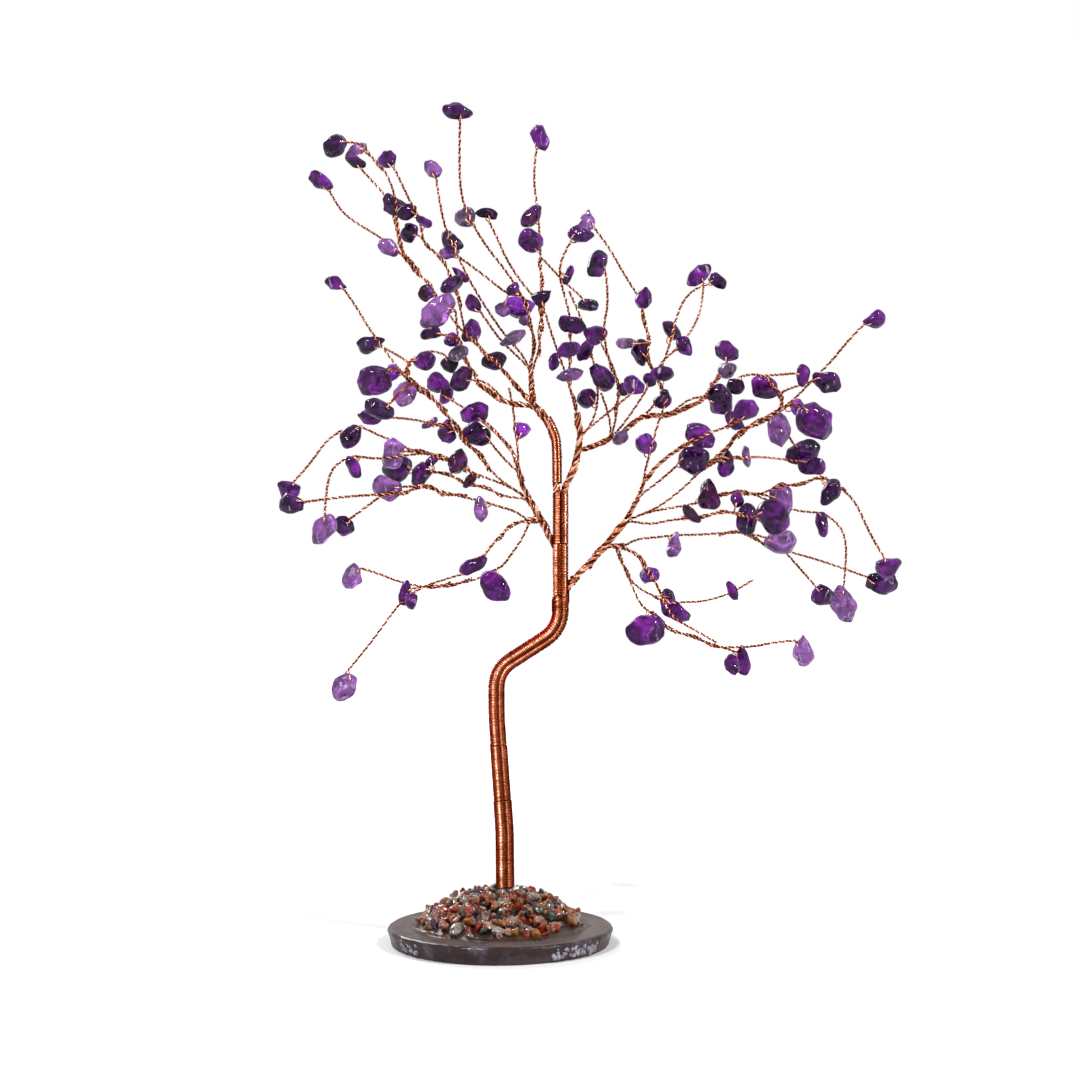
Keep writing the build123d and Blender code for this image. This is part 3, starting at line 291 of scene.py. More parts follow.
# Gravel colours: dark, light and swirl, and how much light passes
MINERAL_COLOURS = {
    "clear": ((0.12, 0.08, 0.06), (0.62, 0.52, 0.45), (0.84, 0.79, 0.74), 0.70),
    "rose": ((0.18, 0.045, 0.024), (0.60, 0.28, 0.18), (0.80, 0.55, 0.44), 0.60),
    "carnelian": ((0.16, 0.006, 0.001), (0.50, 0.048, 0.005), (0.66, 0.18, 0.04), 0.45),
    "citrine": ((0.22, 0.05, 0.003), (0.60, 0.20, 0.014), (0.74, 0.36, 0.09), 0.65),
    "moss": ((0.008, 0.011, 0.008), (0.035, 0.042, 0.034), (0.18, 0.19, 0.17), 0.15),
    "amethyst": ((0.024, 0.004, 0.024), (0.065, 0.014, 0.062), (0.24, 0.16, 0.25), 0.40),
}

# Stage: lamps as (place, size, watts)
FLOOR_REACH = 6.0
FLOOR_LIFT = 0.04
FLOOR_FADE = (0.10, 0.5)
WORLD_LIGHT = 0.42
CAMERA_SENSOR = 36
LAMP_AIM = (0.01, 0, 0.12)
LAMPS = {
    "key": ((-0.45, -0.60, 1.05), (0.14, 0.14), 9.0),
    "fill": ((0.85, -0.55, 0.45), (0.3, 0.6), 2.5),
    "back": ((-0.42, 0.62, 0.62), (0.4, 0.4), 6.0),
    "spark": ((0.67, -0.45, 0.92), (0.07, 0.07), 8.0),
}


# The right bough is the left one turned over and a little larger
TWIN_ORIGIN_PX = (1291.7, 71.6)
TWIN_X_SHARES = (-1.0868, -0.1849)
TWIN_Y_SHARES = (-0.2327, 1.1487)
TWIN_DEPTH_SHARE = -0.92
TWIN_AREA_SHARE = 1.2914


def twin_point(x_px, y_px):
    """Where a pixel of the left bough lies on the right one."""
    return (
        TWIN_ORIGIN_PX[0] + TWIN_X_SHARES[0] * x_px + TWIN_X_SHARES[1] * y_px,
        TWIN_ORIGIN_PX[1] + TWIN_Y_SHARES[0] * x_px + TWIN_Y_SHARES[1] * y_px,
    )


# Routes of the twisted twigs, as name: (parent, depth share at the end, pixels).
# A twig starts on its parent, where the parent passes nearest to its first pixel.
LEFT_ROUTES = {
    "bough_low": ("bough", 0.0, [(541, 519), (533, 519), (527, 519.5)]),
    "upper": ("bough", 0.34, [(527, 497), (523, 486), (519, 470), (517, 459), (508, 446),
                              (497, 433), (484, 421)]),
    "upper_low": ("upper", 0.16, [(520, 474), (509, 464), (499, 453), (491, 443)]),
    "upper_far": ("upper", 0.66, [(505, 443), (497, 434), (470, 411), (452, 401), (441, 393)]),
    "bright": ("upper", 0.14, [(519, 468), (518, 448), (515, 430), (514, 412), (509, 388)]),
    "mid": ("bough", -0.02, [(527, 498), (512, 488), (500, 480), (482, 461), (469, 443),
                             (452, 422), (441, 406), (430, 395), (414, 384), (403, 374)]),
    "crest": ("mid", 0.30, [(406, 377), (396, 366), (382, 346), (368, 327), (356, 306),
                            (347, 292)]),
    "crest_low": ("mid", -0.36, [(405, 376), (396, 367), (385, 372)]),
    "crest_side": ("mid", 0.16, [(406, 377), (407, 367), (411, 360)]),
    "crest_back": ("crest_side", 0.46, [(409, 363), (398, 355), (386, 348)]),
    "crest_bar": ("crest_side", 0.42, [(410, 362), (420, 354), (434, 350), (444, 352)]),
    "leaf": ("mid", -0.58, [(412, 382), (401, 391), (393, 401)]),
    "fall_start": ("mid", -0.02, [(458, 430), (446, 426), (432, 425)]),
    "fall": ("fall_start", -0.42, [(432, 425), (416, 419), (399, 416)]),
    "kite": ("bough", -0.26, [(524, 497), (508, 486), (492, 480), (476, 474), (462, 468),
                              (447, 460), (430, 452), (408, 451)]),
    "drift": ("kite", -0.72, [(422, 452), (394, 457), (378, 459), (361, 457), (352, 456),
                              (336, 464), (329, 476), (326, 495), (325, 512)]),
    "arch": ("kite", 0.02, [(411, 451), (398, 442), (380, 436), (361, 426), (347, 428),
                            (336, 433)]),
    "arch_low": ("arch", 0.24, [(340, 431), (326, 441), (314, 458), (302, 473), (294, 481)]),
    "dark": ("bough", 0.26, [(525, 498), (506, 497), (488, 489), (470, 484), (452, 476),
                             (432, 471)]),
    "dark_low": ("dark", 0.52, [(436, 472), (424, 473), (411, 471)]),
    "swing": ("bough_low", -0.52, [(526, 519), (515, 511), (500, 507), (482, 501), (462, 497),
                                   (437, 490), (417, 486), (402, 487)]),
    "long": ("swing", -0.96, [(424, 488), (398, 494), (372, 495), (341, 497), (305, 502)]),
    "long_low": ("long", -0.50, [(384, 495), (366, 507), (352, 517)]),
    "drop": ("bough_low", -0.30, [(526, 520), (508, 528), (494, 542), (485, 555)]),
    "low": ("bough_low", 0.24, [(531, 521), (523, 538), (510, 556), (503, 566), (492, 571),
                                (474, 581), (446, 585), (417, 586)]),
    "low_top": ("drop", 0.14, [(491, 546), (474, 571), (452, 577), (430, 584)]),
    "low_end": ("low", 0.48, [(426, 586), (396, 581), (378, 573), (361, 568)]),
    "low_fall": ("low", 0.14, [(424, 586), (403, 600), (390, 616), (371, 643), (349, 668)]),
}

# Stones as (route, side, middle, long and short way, turn, kind), in pixels and degrees.
# A stone with side 0 ends its route, 1 hangs behind the route and -1 before it.
LEFT_STONES = [
    ("upper", 0, (475, 413), (27, 20), 25, "oval"),
    ("upper_low", 0, (477, 434), (27, 23), -20, "bean"),
    ("upper_far", 0, (437, 383), (20, 17), -15, "chunk"),
    ("upper_far", 1, (446, 394), (20, 12), 55, "rod"),
    ("bright", 1, (521, 430), (18, 15), 35, "chunk"),
    ("mid", 1, (447, 431), (25, 18), 70, "drop"),
    ("mid", -1, (405, 394), (33, 20), 75, "leaf"),
    ("crest", 0, (336, 284), (20, 15), -20, "drop"),
    ("crest_low", 0, (374, 380), (32, 27), 5, "chunk"),
    ("crest_low", 1.9, (391, 372), (17, 15), 40, "chunk"),
    ("crest_side", 0, (424, 361), (22, 19), 10, "oval"),
    ("crest_back", 0, (371, 344), (26, 18), 20, "drop"),
    ("crest_bar", 0, (450, 365), (17, 14), -10, "oval"),
    ("leaf", 0, (381, 409), (29, 19), -25, "bean"),
    ("fall", 0, (370, 418), (24, 15), -15, "oval"),
    ("fall", 1, (430, 423), (19, 11), 30, "leaf"),
    ("kite", -1, (458, 461), (25, 21), 75, "triangle"),
    ("kite", 0, (393, 453), (30, 20), 85, "oval"),
    ("drift", -1, (353, 466), (22, 9), 86, "rod"),
    ("drift", 0, (323, 530), (31, 22), 60, "leaf"),
    ("arch", -1, (350, 437), (27, 19), 75, "leaf"),
    ("arch_low", 0, (290, 490), (22, 20), 10, "triangle"),
    ("dark", 0, (421, 474), (27, 18), 80, "oval"),
    ("dark", -1, (470, 481), (19, 11), 35, "leaf"),
    ("dark", 1, (432, 461), (13, 10), 60, "chunk"),
    ("dark_low", 0, (397, 468), (30, 26), 60, "chunk"),
    ("swing", -1, (481, 509), (25, 14), 80, "drop"),
    ("swing", 0, (387, 488), (29, 21), -10, "bean"),
    ("long", 0, (291, 504), (26, 20), -15, "bean"),
    ("long_low", 0, (343, 526), (21, 17), -30, "oval"),
    ("drop", 0, (473, 565), (31, 15), 20, "oval"),
    ("low", -1, (495, 587), (38, 25), -55, "oval"),
    ("low", 0, (405, 593), (26, 14), 80, "drop"),
    ("low", -2.6, (411, 601), (24, 14), -75, "drop"),
    ("low_end", 0, (352, 575), (26, 18), 80, "drop"),
    ("low_fall", 0, (344, 687), (28, 22), 60, "chunk"),
]

# Which group of the left bough each route belongs to
LEFT_GROUPS = {
    "upper": ("upper", "upper_low", "upper_far", "bright"),
    "crest": ("mid", "crest", "crest_low", "crest_side", "crest_back", "crest_bar", "leaf",
              "fall_start", "fall"),
    "outer": ("kite", "drift", "arch", "arch_low", "dark", "dark_low"),
    "lower": ("bough_low", "swing", "long", "long_low", "drop", "low", "low_top",
              "low_end", "low_fall"),
}

# A bough's place in the trunk, where it leaves, and the depth and pixels it goes on to
BOUGHS = {
    "left": (-COLUMN, COLUMN, LEFT_EXIT_PX - EXIT_GAP_PX, 0.05,
             [(550, 539), (543, 523), (535, 508), (527, 498)]),
    "right": (COLUMN, COLUMN, FORK_PX - EXIT_GAP_PX, 0.06,
              [(574, 578), (593, 560), (606, 545), (619, 529), (627, 520)]),
    "centre": (COLUMN, -COLUMN, TRUNK_TOP_PX - EXIT_GAP_PX, -0.06,
               [(567, 483), (572, 473), (577, 457), (580, 439), (580, 426), (577, 413)]),
}

# The side and name of each bough's route
BOUGH_KEYS = {"left": ("left", "bough"), "right": ("right", "bough"),
              "centre": ("crown", "centre_bough"), "crown": ("crown", "crown_bough")}

# Twigs that only one of the two boughs has
LEFT_ONLY = ("low_fall",)
RIGHT_LOW = (0.08, [(605, 547), (614, 546), (624, 545)])
RIGHT_SHOULDER = (0.16, [(643, 414), (654, 416), (672, 415), (689, 407), (703, 400)])
RIGHT_ROUTES = {
    "tip": ("crest_bar", -0.50, [(761, 377), (776, 375), (792, 373)]),
    "top": ("shoulder", -0.02, [(728, 374), (729, 362)]),
    "hang": ("drop", 0.34, [(640, 560), (643, 566)]),
    "veil": ("low", 0.62, [(629, 581), (641, 590), (656, 597), (668, 604), (684, 602),
                           (702, 602), (727, 595), (740, 588), (753, 580)]),
}
RIGHT_STONES = [
    ("tip", 0, (803, 375), (23, 13), 80, "oval"),
    ("top", 0, (727, 352), (24, 17), -35, "oval"),
    ("crest_bar", -1, (755, 399), (22, 16), 20, "oval"),
    ("hang", 0, (649, 575), (18, 15), 20, "chunk"),
    ("veil", 1.5, (670, 600), (29, 15), -15, "bean"),
    ("veil", -1, (733, 591), (21, 12), -65, "leaf"),
]

# The crown
CROWN_ROUTES = {
    "crown_left": ("crown_bough", -0.12, [(541, 411), (533, 406), (519, 405), (502, 401),
                                          (488, 391), (477, 383)]),
    "crown_up": ("crown_left", 0.02, [(538, 408), (533, 400), (531, 385), (531, 371)]),
    "crown_back": ("crown_left", 0.20, [(540, 410), (526, 396), (516, 385), (503, 371)]),
    "centre_right": ("centre_bough", 0.08, [(579, 452), (590, 448), (600, 444),
                                            (611, 438)]),
    "shoulder": ("crown_left", -0.46, [(480, 385), (472, 372), (466, 358), (458, 343),
                                       (457, 324), (455, 306)]),
    "shard": ("shoulder", -0.60, [(457, 338), (447, 335)]),
    "elbow": ("crown_left", -0.02, [(488, 391), (476, 380)]),
    "strand": ("crown_left", 0.10, [(505, 402), (496, 391), (486, 382), (475, 379)]),
    "west": ("crown_back", 0.62, [(503, 371), (490, 357), (472, 341), (456, 324), (446, 310),
                                  (434, 291), (418, 272), (399, 252)]),
    "west_far": ("west", 0.92, [(403, 257), (386, 241), (370, 231), (350, 219), (338, 207),
                                (331, 193)]),
    "west_high": ("west", 0.50, [(406, 260), (400, 243), (397, 228), (396, 217)]),
    "west_lilac": ("west_high", 0.78, [(399, 237), (390, 202), (379, 188), (362, 170)]),
    "west_top": ("west_high", 0.14, [(399, 237), (397, 220), (396, 200), (389, 178), (378, 161),
                                     (365, 152)]),
    "west_tip": ("west_top", -0.04, [(370, 155), (362, 143), (346, 142)]),
    "chain": ("west", 0.16, [(465, 334), (461, 312), (456, 292), (449, 270), (438, 256),
                             (419, 235)]),
    "chain_top": ("chain", -0.16, [(424, 241), (419, 216), (410, 202), (401, 182),
                                   (393, 166)]),
    "pebble": ("west", 0.42, [(486, 353), (478, 345)]),
    "dusk": ("crown_back", 0.52, [(516, 385), (503, 372)]),
    "north": ("crown_up", -0.30, [(531, 371), (523, 355), (511, 343), (496, 323), (481, 300),
                                  (467, 276), (458, 256), (446, 231), (440, 205),
                                  (437, 181)]),
    "north_low": ("crown_up", -0.12, [(530, 371), (518, 357), (500, 340), (486, 320),
                                      (478, 308)]),
    "mast": ("crown_up", -0.66, [(531, 370), (534, 342), (530, 315), (519, 290), (503, 267),
                                 (485, 245), (468, 216), (461, 195), (459, 165),
                                 (460, 122)]),
    "cross": ("mast", -0.10, [(521, 296), (508, 295), (484, 275), (463, 259)]),
    "spire": ("crown_up", 0.24, [(532, 371), (541, 345), (541, 300), (541, 258), (539, 225),
                                 (537, 205), (533, 175), (536, 151)]),
    "bead": ("spire", -0.20, [(541, 305), (524, 286), (507, 261), (496, 235), (488, 220)]),
    "link": ("spire", 0.55, [(541, 256), (550, 267), (563, 281), (577, 293), (585, 301)]),
    "heart": ("centre_bough", -0.30, [(577, 413), (570, 388), (563, 366), (552, 336),
                                      (544, 311)]),
    "north_east": ("heart", -0.62, [(570, 386), (570, 352), (571, 322), (566, 300),
                                    (559, 277), (561, 258), (568, 244)]),
    "ladder": ("centre_bough", 0.20, [(580, 437), (592, 424), (599, 400), (595, 368),
                                      (588, 340), (579, 312), (569, 291)]),
    "stub": ("centre_right", 0.00, [(612, 437), (609, 413), (601, 393)]),
    "step": ("centre_right", -0.24, [(612, 436), (618, 408), (618, 384), (612, 363),
                                     (602, 346)]),
    "bow": ("step", -0.50, [(606, 352), (603, 327), (609, 301), (608, 276)]),
    "spray": ("centre_right", -0.06, [(612, 437), (632, 413), (647, 389)]),
    "twin_mast": ("centre_right", 0.36, [(612, 438), (631, 428), (650, 410), (663, 394),
                                         (657, 376), (648, 360), (648, 334), (643, 310),
                                         (637, 294)]),
    "twin_top": ("twin_mast", 0.10, [(639, 299), (622, 271), (609, 247), (597, 231)]),
    "east": ("twin_mast", 0.50, [(657, 378), (665, 359), (671, 340), (676, 318), (685, 297),
                                 (700, 286), (711, 284)]),
    "east_low": ("east", 0.84, [(664, 361), (679, 347), (693, 329), (702, 308), (704, 284)]),
    "sprig": ("centre_bough", -0.40, [(580, 436), (600, 419), (616, 406), (628, 397)]),
}

CROWN_STONES = [
    ("shoulder", 0, (437, 312), (42, 26), 50, "leaf"),
    ("shoulder", -1, (459, 353), (20, 13), -15, "oval"),
    ("shoulder", 1, (452, 339), (17, 13), 70, "oval"),
    ("shard", 0, (431, 334), (19, 12), 20, "rod"),
    ("elbow", 0, (461, 379), (26, 19), 70, "chunk"),
    ("west", 0, (388, 248), (24, 15), -50, "leaf"),
    ("west", -1, (426, 294), (17, 15), 30, "oval"),
    ("west_far", 0, (322, 182), (31, 16), -25, "drop"),
    ("west_high", 0, (396, 206), (25, 21), -10, "triangle"),
    ("west_lilac", 0, (356, 161), (23, 12), -30, "bean"),
    ("west_top", 0, (355, 150), (24, 11), 40, "leaf"),
    ("west_tip", 0, (334, 146), (22, 20), 35, "chunk"),
    ("chain", 0, (409, 233), (18, 15), 60, "chunk"),
    ("chain", -1, (452, 285), (27, 13), 0, "rod"),
    ("chain", 1, (461, 275), (20, 9), -30, "leaf"),
    ("chain_top", 0, (388, 159), (20, 15), 20, "oval"),
    ("chain_top", 1, (408, 212), (19, 16), 40, "oval"),
    ("chain_top", -1, (424, 222), (23, 11), 30, "leaf"),
    ("pebble", 0, (472, 331), (26, 17), 50, "oval"),
    ("dusk", 0, (495, 361), (24, 16), 10, "oval"),
    ("north", 0, (432, 169), (19, 15), -50, "oval"),
    ("north", 1, (452, 242), (23, 18), -30, "triangle"),
    ("north", -1, (513, 338), (30, 15), 55, "leaf"),
    ("north_low", 0, (473, 304), (20, 12), -65, "oval"),
    ("mast", 0, (459, 112), (31, 17), -5, "drop"),
    ("mast", 1, (466, 217), (22, 18), 0, "oval"),
    ("mast", 1, (519, 307), (30, 24), 10, "triangle"),
    ("mast", -1, (514, 288), (16, 11), 25, "bean"),
    ("mast", -1, (524, 322), (14, 9), -45, "leaf"),
    ("cross", 0, (450, 253), (20, 12), 10, "oval"),
    ("cross", 1, (503, 310), (16, 13), -40, "oval"),
    ("spire", 0, (540, 138), (30, 15), -60, "bean"),
    ("spire", -1, (531, 217), (28, 17), 35, "oval"),
    ("spire", -1, (530, 241), (25, 20), -50, "chunk"),
    ("bead", 0, (486, 214), (23, 10), 5, "leaf"),
    ("link", 0, (588, 306), (20, 11), -5, "rod"),
    ("heart", 0, (543, 297), (20, 15), 30, "triangle"),
    ("heart", -1, (570, 375), (26, 13), -5, "oval"),
    ("heart", -1, (554, 361), (18, 12), 55, "drop"),
    ("north_east", 0, (581, 234), (26, 18), -15, "drop"),
    ("north_east", -1, (569, 349), (22, 17), 40, "chunk"),
    ("north_east", -1, (572, 324), (28, 17), 30, "oval"),
    ("north_east", 1, (568, 275), (20, 10), 80, "drop"),
    ("ladder", -1, (602, 377), (29, 17), -65, "rod"),
    ("ladder", -1, (585, 352), (22, 14), 75, "leaf"),
    ("ladder", 1, (587, 398), (19, 17), -20, "chunk"),
    ("step", 0, (598, 335), (24, 20), 20, "triangle"),
    ("step", -1, (624, 389), (15, 12), -30, "oval"),
    ("bow", 0, (598, 264), (26, 18), 70, "rod"),
    ("spray", 0, (649, 380), (16, 12), -40, "leaf"),
    ("twin_mast", -1, (662, 374), (26, 16), -25, "oval"),
    ("twin_mast", 1, (640, 353), (36, 17), -70, "drop"),
    ("twin_mast", 1, (625, 343), (20, 11), 5, "rod"),
    ("twin_mast", -1, (663, 399), (22, 16), 70, "bean"),
    ("twin_mast", -1, (644, 297), (22, 17), 80, "drop"),
    ("twin_top", 0, (587, 221), (22, 16), 80, "drop"),
    ("east", 0, (717, 281), (20, 13), -40, "bean"),
    ("east", 1, (671, 331), (25, 16), -40, "oval"),
    ("east_low", 0, (699, 275), (27, 14), 45, "leaf"),
    ("east_low", -1, (685, 347), (20, 15), -55, "drop"),
    ("twin_mast", -1.8, (621, 437), (17, 14), 20, "triangle"),
    ("sprig", 0, (634, 385), (21, 18), -30, "bean"),
]

CROWN_GROUPS = {
    "west": ("crown_back", "west", "west_far", "west_high", "west_lilac", "west_top",
             "west_tip", "chain", "chain_top", "pebble", "dusk"),
    "shoulder": ("crown_left", "shoulder", "shard", "elbow", "strand"),
    "north": ("crown_up", "north", "north_low", "mast", "cross", "spire", "bead", "link"),
    "centre": ("heart", "north_east", "ladder", "sprig"),
    "east": ("centre_right", "stub", "step", "bow", "spray", "twin_mast", "twin_top", "east",
             "east_low"),
}

RIGHT_SHOULDER_ROUTES = {
    "shoulder": ("right_shoulder", 0.30, [(480, 385), (472, 372), (466, 358)]),
    "elbow": ("right_shoulder", 0.02, [(488, 391), (476, 380)]),
    "strand": ("right_shoulder", -0.10, [(505, 402), (496, 391), (486, 382), (475, 379)]),
}
RIGHT_SHOULDER_STONES = [
    ("shoulder", -1, (459, 353), (20, 13), -15, "oval"),
    ("elbow", 0, (461, 379), (26, 19), 70, "chunk"),
]
RIGHT_EXTRAS = {"crest": ("tip",), "lower": ("hang", "veil")}

# Where each side's twigs are looked up
ROUTE_TABLES = {"left": (LEFT_ROUTES,), "crown": (CROWN_ROUTES,),
                "right": (RIGHT_ROUTES, RIGHT_SHOULDER_ROUTES, LEFT_ROUTES)}

# Outlines of the stones, as shares of the long and the short way, in order round the edge
OUTLINE_SHARES = {
    "oval": ((0.50, 0.04), (0.30, 0.42), (-0.10, 0.50), (-0.42, 0.32), (-0.50, -0.08),
             (-0.26, -0.46), (0.22, -0.48)),
    "drop": ((0.50, 0.03), (0.12, 0.36), (-0.22, 0.50), (-0.48, 0.22), (-0.46, -0.22),
             (-0.16, -0.50), (0.20, -0.34)),
    "leaf": ((0.50, 0.10), (0.22, 0.46), (-0.16, 0.50), (-0.50, 0.08), (-0.34, -0.34),
             (0.06, -0.50), (0.38, -0.34)),
    "bean": ((0.50, -0.12), (0.40, 0.34), (0.06, 0.38), (-0.30, 0.50), (-0.50, 0.06),
             (-0.34, -0.42), (0.14, -0.50)),
    "chunk": ((0.48, -0.26), (0.50, 0.24), (0.16, 0.50), (-0.34, 0.44), (-0.50, 0.00),
              (-0.36, -0.46), (0.16, -0.50)),
    "triangle": ((0.50, 0.06), (0.10, 0.34), (-0.36, 0.50), (-0.50, 0.30), (-0.42, -0.30),
                 (-0.14, -0.50), (0.30, -0.28)),
    "rod": ((0.50, 0.12), (0.36, 0.48), (-0.34, 0.50), (-0.50, 0.16), (-0.46, -0.34),
            (0.10, -0.50), (0.44, -0.36)),
}
THICKNESS_SHARES = {"oval": 0.62, "drop": 0.58, "leaf": 0.50, "bean": 0.62, "chunk": 0.68,
                    "triangle": 0.52, "rod": 0.80}
STONE_LEANS = (12, -22, 4, 26, -12, 18, -28, -4)
CAP_SHIFT_SHARES = (0.05, -0.06, 0.02, -0.03, 0.07)


# Chips that aren't plain violet, by the pixel where each is seen
CHIP_TONES_PX = {
    "dark": ((334, 146), (355, 161), (396, 206), (409, 233), (459, 112), (452, 242), (452, 285),
             (598, 264), (588, 306), (602, 377), (587, 398), (495, 361), (717, 281),
             (671, 331), (640, 353), (624, 389), (649, 380), (663, 399), (371, 344), (461, 379),
             (381, 409), (477, 434), (397, 468), (421, 474), (291, 504), (343, 526), (350, 437),
             (670, 600)),
    "red": ((531, 217), (426, 294), (458, 461), (470, 481)),
    "black": ((408, 212), (486, 214), (431, 334), (543, 297), (572, 324), (450, 365)),
    "lilac": ((355, 150), (388, 248), (432, 169), (450, 253), (437, 312), (503, 310), (524, 322),
              (587, 221), (570, 375), (405, 394), (387, 488), (430, 423), (393, 453),
              (481, 509), (323, 530), (352, 575), (344, 687)),
    "grey": ((466, 217), (459, 353), (513, 338), (625, 343), (755, 399), (621, 437)),
    "bright": ((521, 430), (391, 372), (649, 575), (519, 307)),
}
TONE_REACH_PX = 3


# Twigs and how the chips hang on them

class Route:
    """A twig, as the pixels it passes and the points that lie there."""

    def __init__(self, pixels, points):
        self.pixels = [tuple(pixel) for pixel in pixels]
        self.points = [Vector(point) for point in points]

    def run_lengths(self):
        return [math.dist(a, b) for a, b in zip(self.pixels, self.pixels[1:])]

    def at(self, travel):
        """The pixel, the point and the run at this many pixels from the start."""
        runs = self.run_lengths()
        for index, length in enumerate(runs):
            if travel <= length or index == len(runs) - 1:
                part = min(travel / length, 1)
                a, b = self.pixels[index], self.pixels[index + 1]
                pixel = (a[0] + (b[0] - a[0]) * part, a[1] + (b[1] - a[1]) * part)
                return pixel, self.points[index].lerp(self.points[index + 1], part), index
            travel -= length

    def points_near(self, pixel, reach_px):
        """Points of the route that lie within this many pixels of a pixel."""
        total = math.floor(sum(self.run_lengths()))
        spots = [self.at(travel) for travel in range(total + 1)]
        spots.append(self.at(self.nearest(*pixel)))
        miss = min(math.dist(spot, pixel) for spot, _, _ in spots)
        reach_px = max(reach_px, miss)
        return [point for spot, point, _ in spots if math.dist(spot, pixel) <= reach_px]

    def nearest(self, x_px, y_px):
        """How far along the route it passes nearest to this pixel."""
        best, travel = None, 0
        for (ax, ay), (bx, by), length in zip(self.pixels, self.pixels[1:], self.run_lengths()):
            part = ((x_px - ax) * (bx - ax) + (y_px - ay) * (by - ay)) / length ** 2
            part = max(0, min(1, part))
            miss = math.hypot(x_px - ax - (bx - ax) * part, y_px - ay - (by - ay) * part)
            if best is None or miss < best[0]:
                best = (miss, travel + part * length)
            travel += length
        return best[1]


def grow(parent, end_depth_share, pixels):
    """A route from the parent to the last pixel, its depth changing evenly on the way."""
    start_px, start, _ = parent.at(parent.nearest(*pixels[0]))
    pixels = [start_px] + [tuple(pixel) for pixel in pixels[1:]]
    runs = [math.dist(a, b) for a, b in zip(pixels, pixels[1:])]
    start_share = start.y / CROWN_DEPTH
    points, travel = [start], 0
    for pixel, run in zip(pixels[1:], runs):
        travel += run
        depth_share = start_share + (end_depth_share - start_share) * travel / sum(runs)
        points.append(place(*pixel, depth_share))
    return Route(pixels, points)


def edge_share(outline, x, y):
    """How far the outline lies from its middle along this direction."""
    length = math.hypot(x, y)
    x, y = x / length, y / length
    reach = 0
    for (ax, ay), (bx, by) in zip(outline, outline[1:] + outline[:1]):
        side = x * (by - ay) - y * (bx - ax)
        if side:
            along = (ax * (by - ay) - ay * (bx - ax)) / side
            part = (ax * y - ay * x) / side
            if along > 0 and -1e-9 <= part <= 1 + 1e-9:
                reach = max(reach, along)
    return reach


def find_hook(route, side, middle_px, outline, along):
    """Where on its route a chip hangs: clear of its edge, before the nearest spot.

    A route with a chip at its end is cut off or led on, so that it stops at the hook.
    """
    x_px, y_px = middle_px
    gap_px = HOOK_GAP / PHOTO_M_PER_PX

    def local(pixel):
        dx, dy = pixel[0] - x_px, pixel[1] - y_px
        return dx * along[0] + dy * along[1], dx * along[1] - dy * along[0]

    travel = route.nearest(x_px, y_px)
    while travel > 1:
        spot = local(route.at(travel)[0])
        if math.hypot(*spot) >= max(1, edge_share(outline, *spot) + gap_px):
            break
        travel -= HOOK_STEP_PX
    pixel, hook, run = route.at(travel)
    if side == 0:
        spot = local(pixel)
        grow_by = (edge_share(outline, *spot) + gap_px) / math.hypot(*spot)
        pixel = (x_px + (pixel[0] - x_px) * grow_by, y_px + (pixel[1] - y_px) * grow_by)
        hook = place(*pixel, hook.y / CROWN_DEPTH)
        route.pixels = route.pixels[:run + 1] + [pixel]
        route.points = route.points[:run + 1] + [hook]
    return hook


class Chip:
    """A drilled chip: where it hangs, its outline, and the loop that holds it."""

    def __init__(self, route, side, middle_px, size_px, turn, kind, mirrored, index, tone):
        flip = -1 if mirrored else 1
        outline = [(x * size_px[0], y * size_px[1] * flip) for x, y in OUTLINE_SHARES[kind]]
        along = (math.cos(math.radians(turn)), -math.sin(math.radians(turn)))
        self.tone = tone
        self.half = THICKNESS_SHARES[kind] * size_px[1] / 2 * PHOTO_M_PER_PX
        self.shift = CAP_SHIFT_SHARES[index % len(CAP_SHIFT_SHARES)] * self.half * 2
        self.hook = find_hook(route, side, middle_px, outline, along)
        depth = self.hook.y
        if side:
            passed = [point.y for point in route.points_near(middle_px, size_px[0] / 2)]
            nearest = max(passed) if side > 0 else min(passed)
            depth = nearest + side * (self.half + STONE_GAP)
        self.middle = place(*middle_px, depth / CROWN_DEPTH)
        toward = (self.hook - self.middle).normalized()
        axis = Vector((0, 1, 0))
        axis = (axis - toward * axis.dot(toward)).normalized()
        lean = math.radians(STONE_LEANS[index % len(STONE_LEANS)])
        self.axis = Quaternion(toward, lean) @ axis
        long_way = Vector((along[0], 0, -along[1]))
        self.long_way = (long_way - self.axis * long_way.dot(self.axis)).normalized()
        self.short_way = self.axis.cross(self.long_way)
        upright = abs(along[0]) < UPRIGHT_SHARE
        if (self.short_way.z * along[0] < 0
                or upright and self.short_way.x * along[1] < 0):
            outline = [(x, -y) for x, y in outline]
        scale = PHOTO_M_PER_PX * (VIEW_DISTANCE + depth) / VIEW_DISTANCE
        self.outline = [(x * scale, y * scale) for x, y in outline]
        edge = edge_share(self.outline, toward.dot(self.long_way), toward.dot(self.short_way))
        self.bore = self.middle + toward * (edge * BORE_SHARE)


def twin_row(middle, size, turn):
    """A left chip's middle, size and turn as they are on the right bough."""
    tip = (math.cos(math.radians(turn)), -math.sin(math.radians(turn)))
    turned = (
        TWIN_X_SHARES[0] * tip[0] + TWIN_X_SHARES[1] * tip[1],
        TWIN_Y_SHARES[0] * tip[0] + TWIN_Y_SHARES[1] * tip[1],
    )
    stretch = math.hypot(*turned)
    size = (size[0] * stretch, size[1] * TWIN_AREA_SHARE / stretch)
    return twin_point(*middle), size, math.degrees(math.atan2(-turned[1], turned[0]))


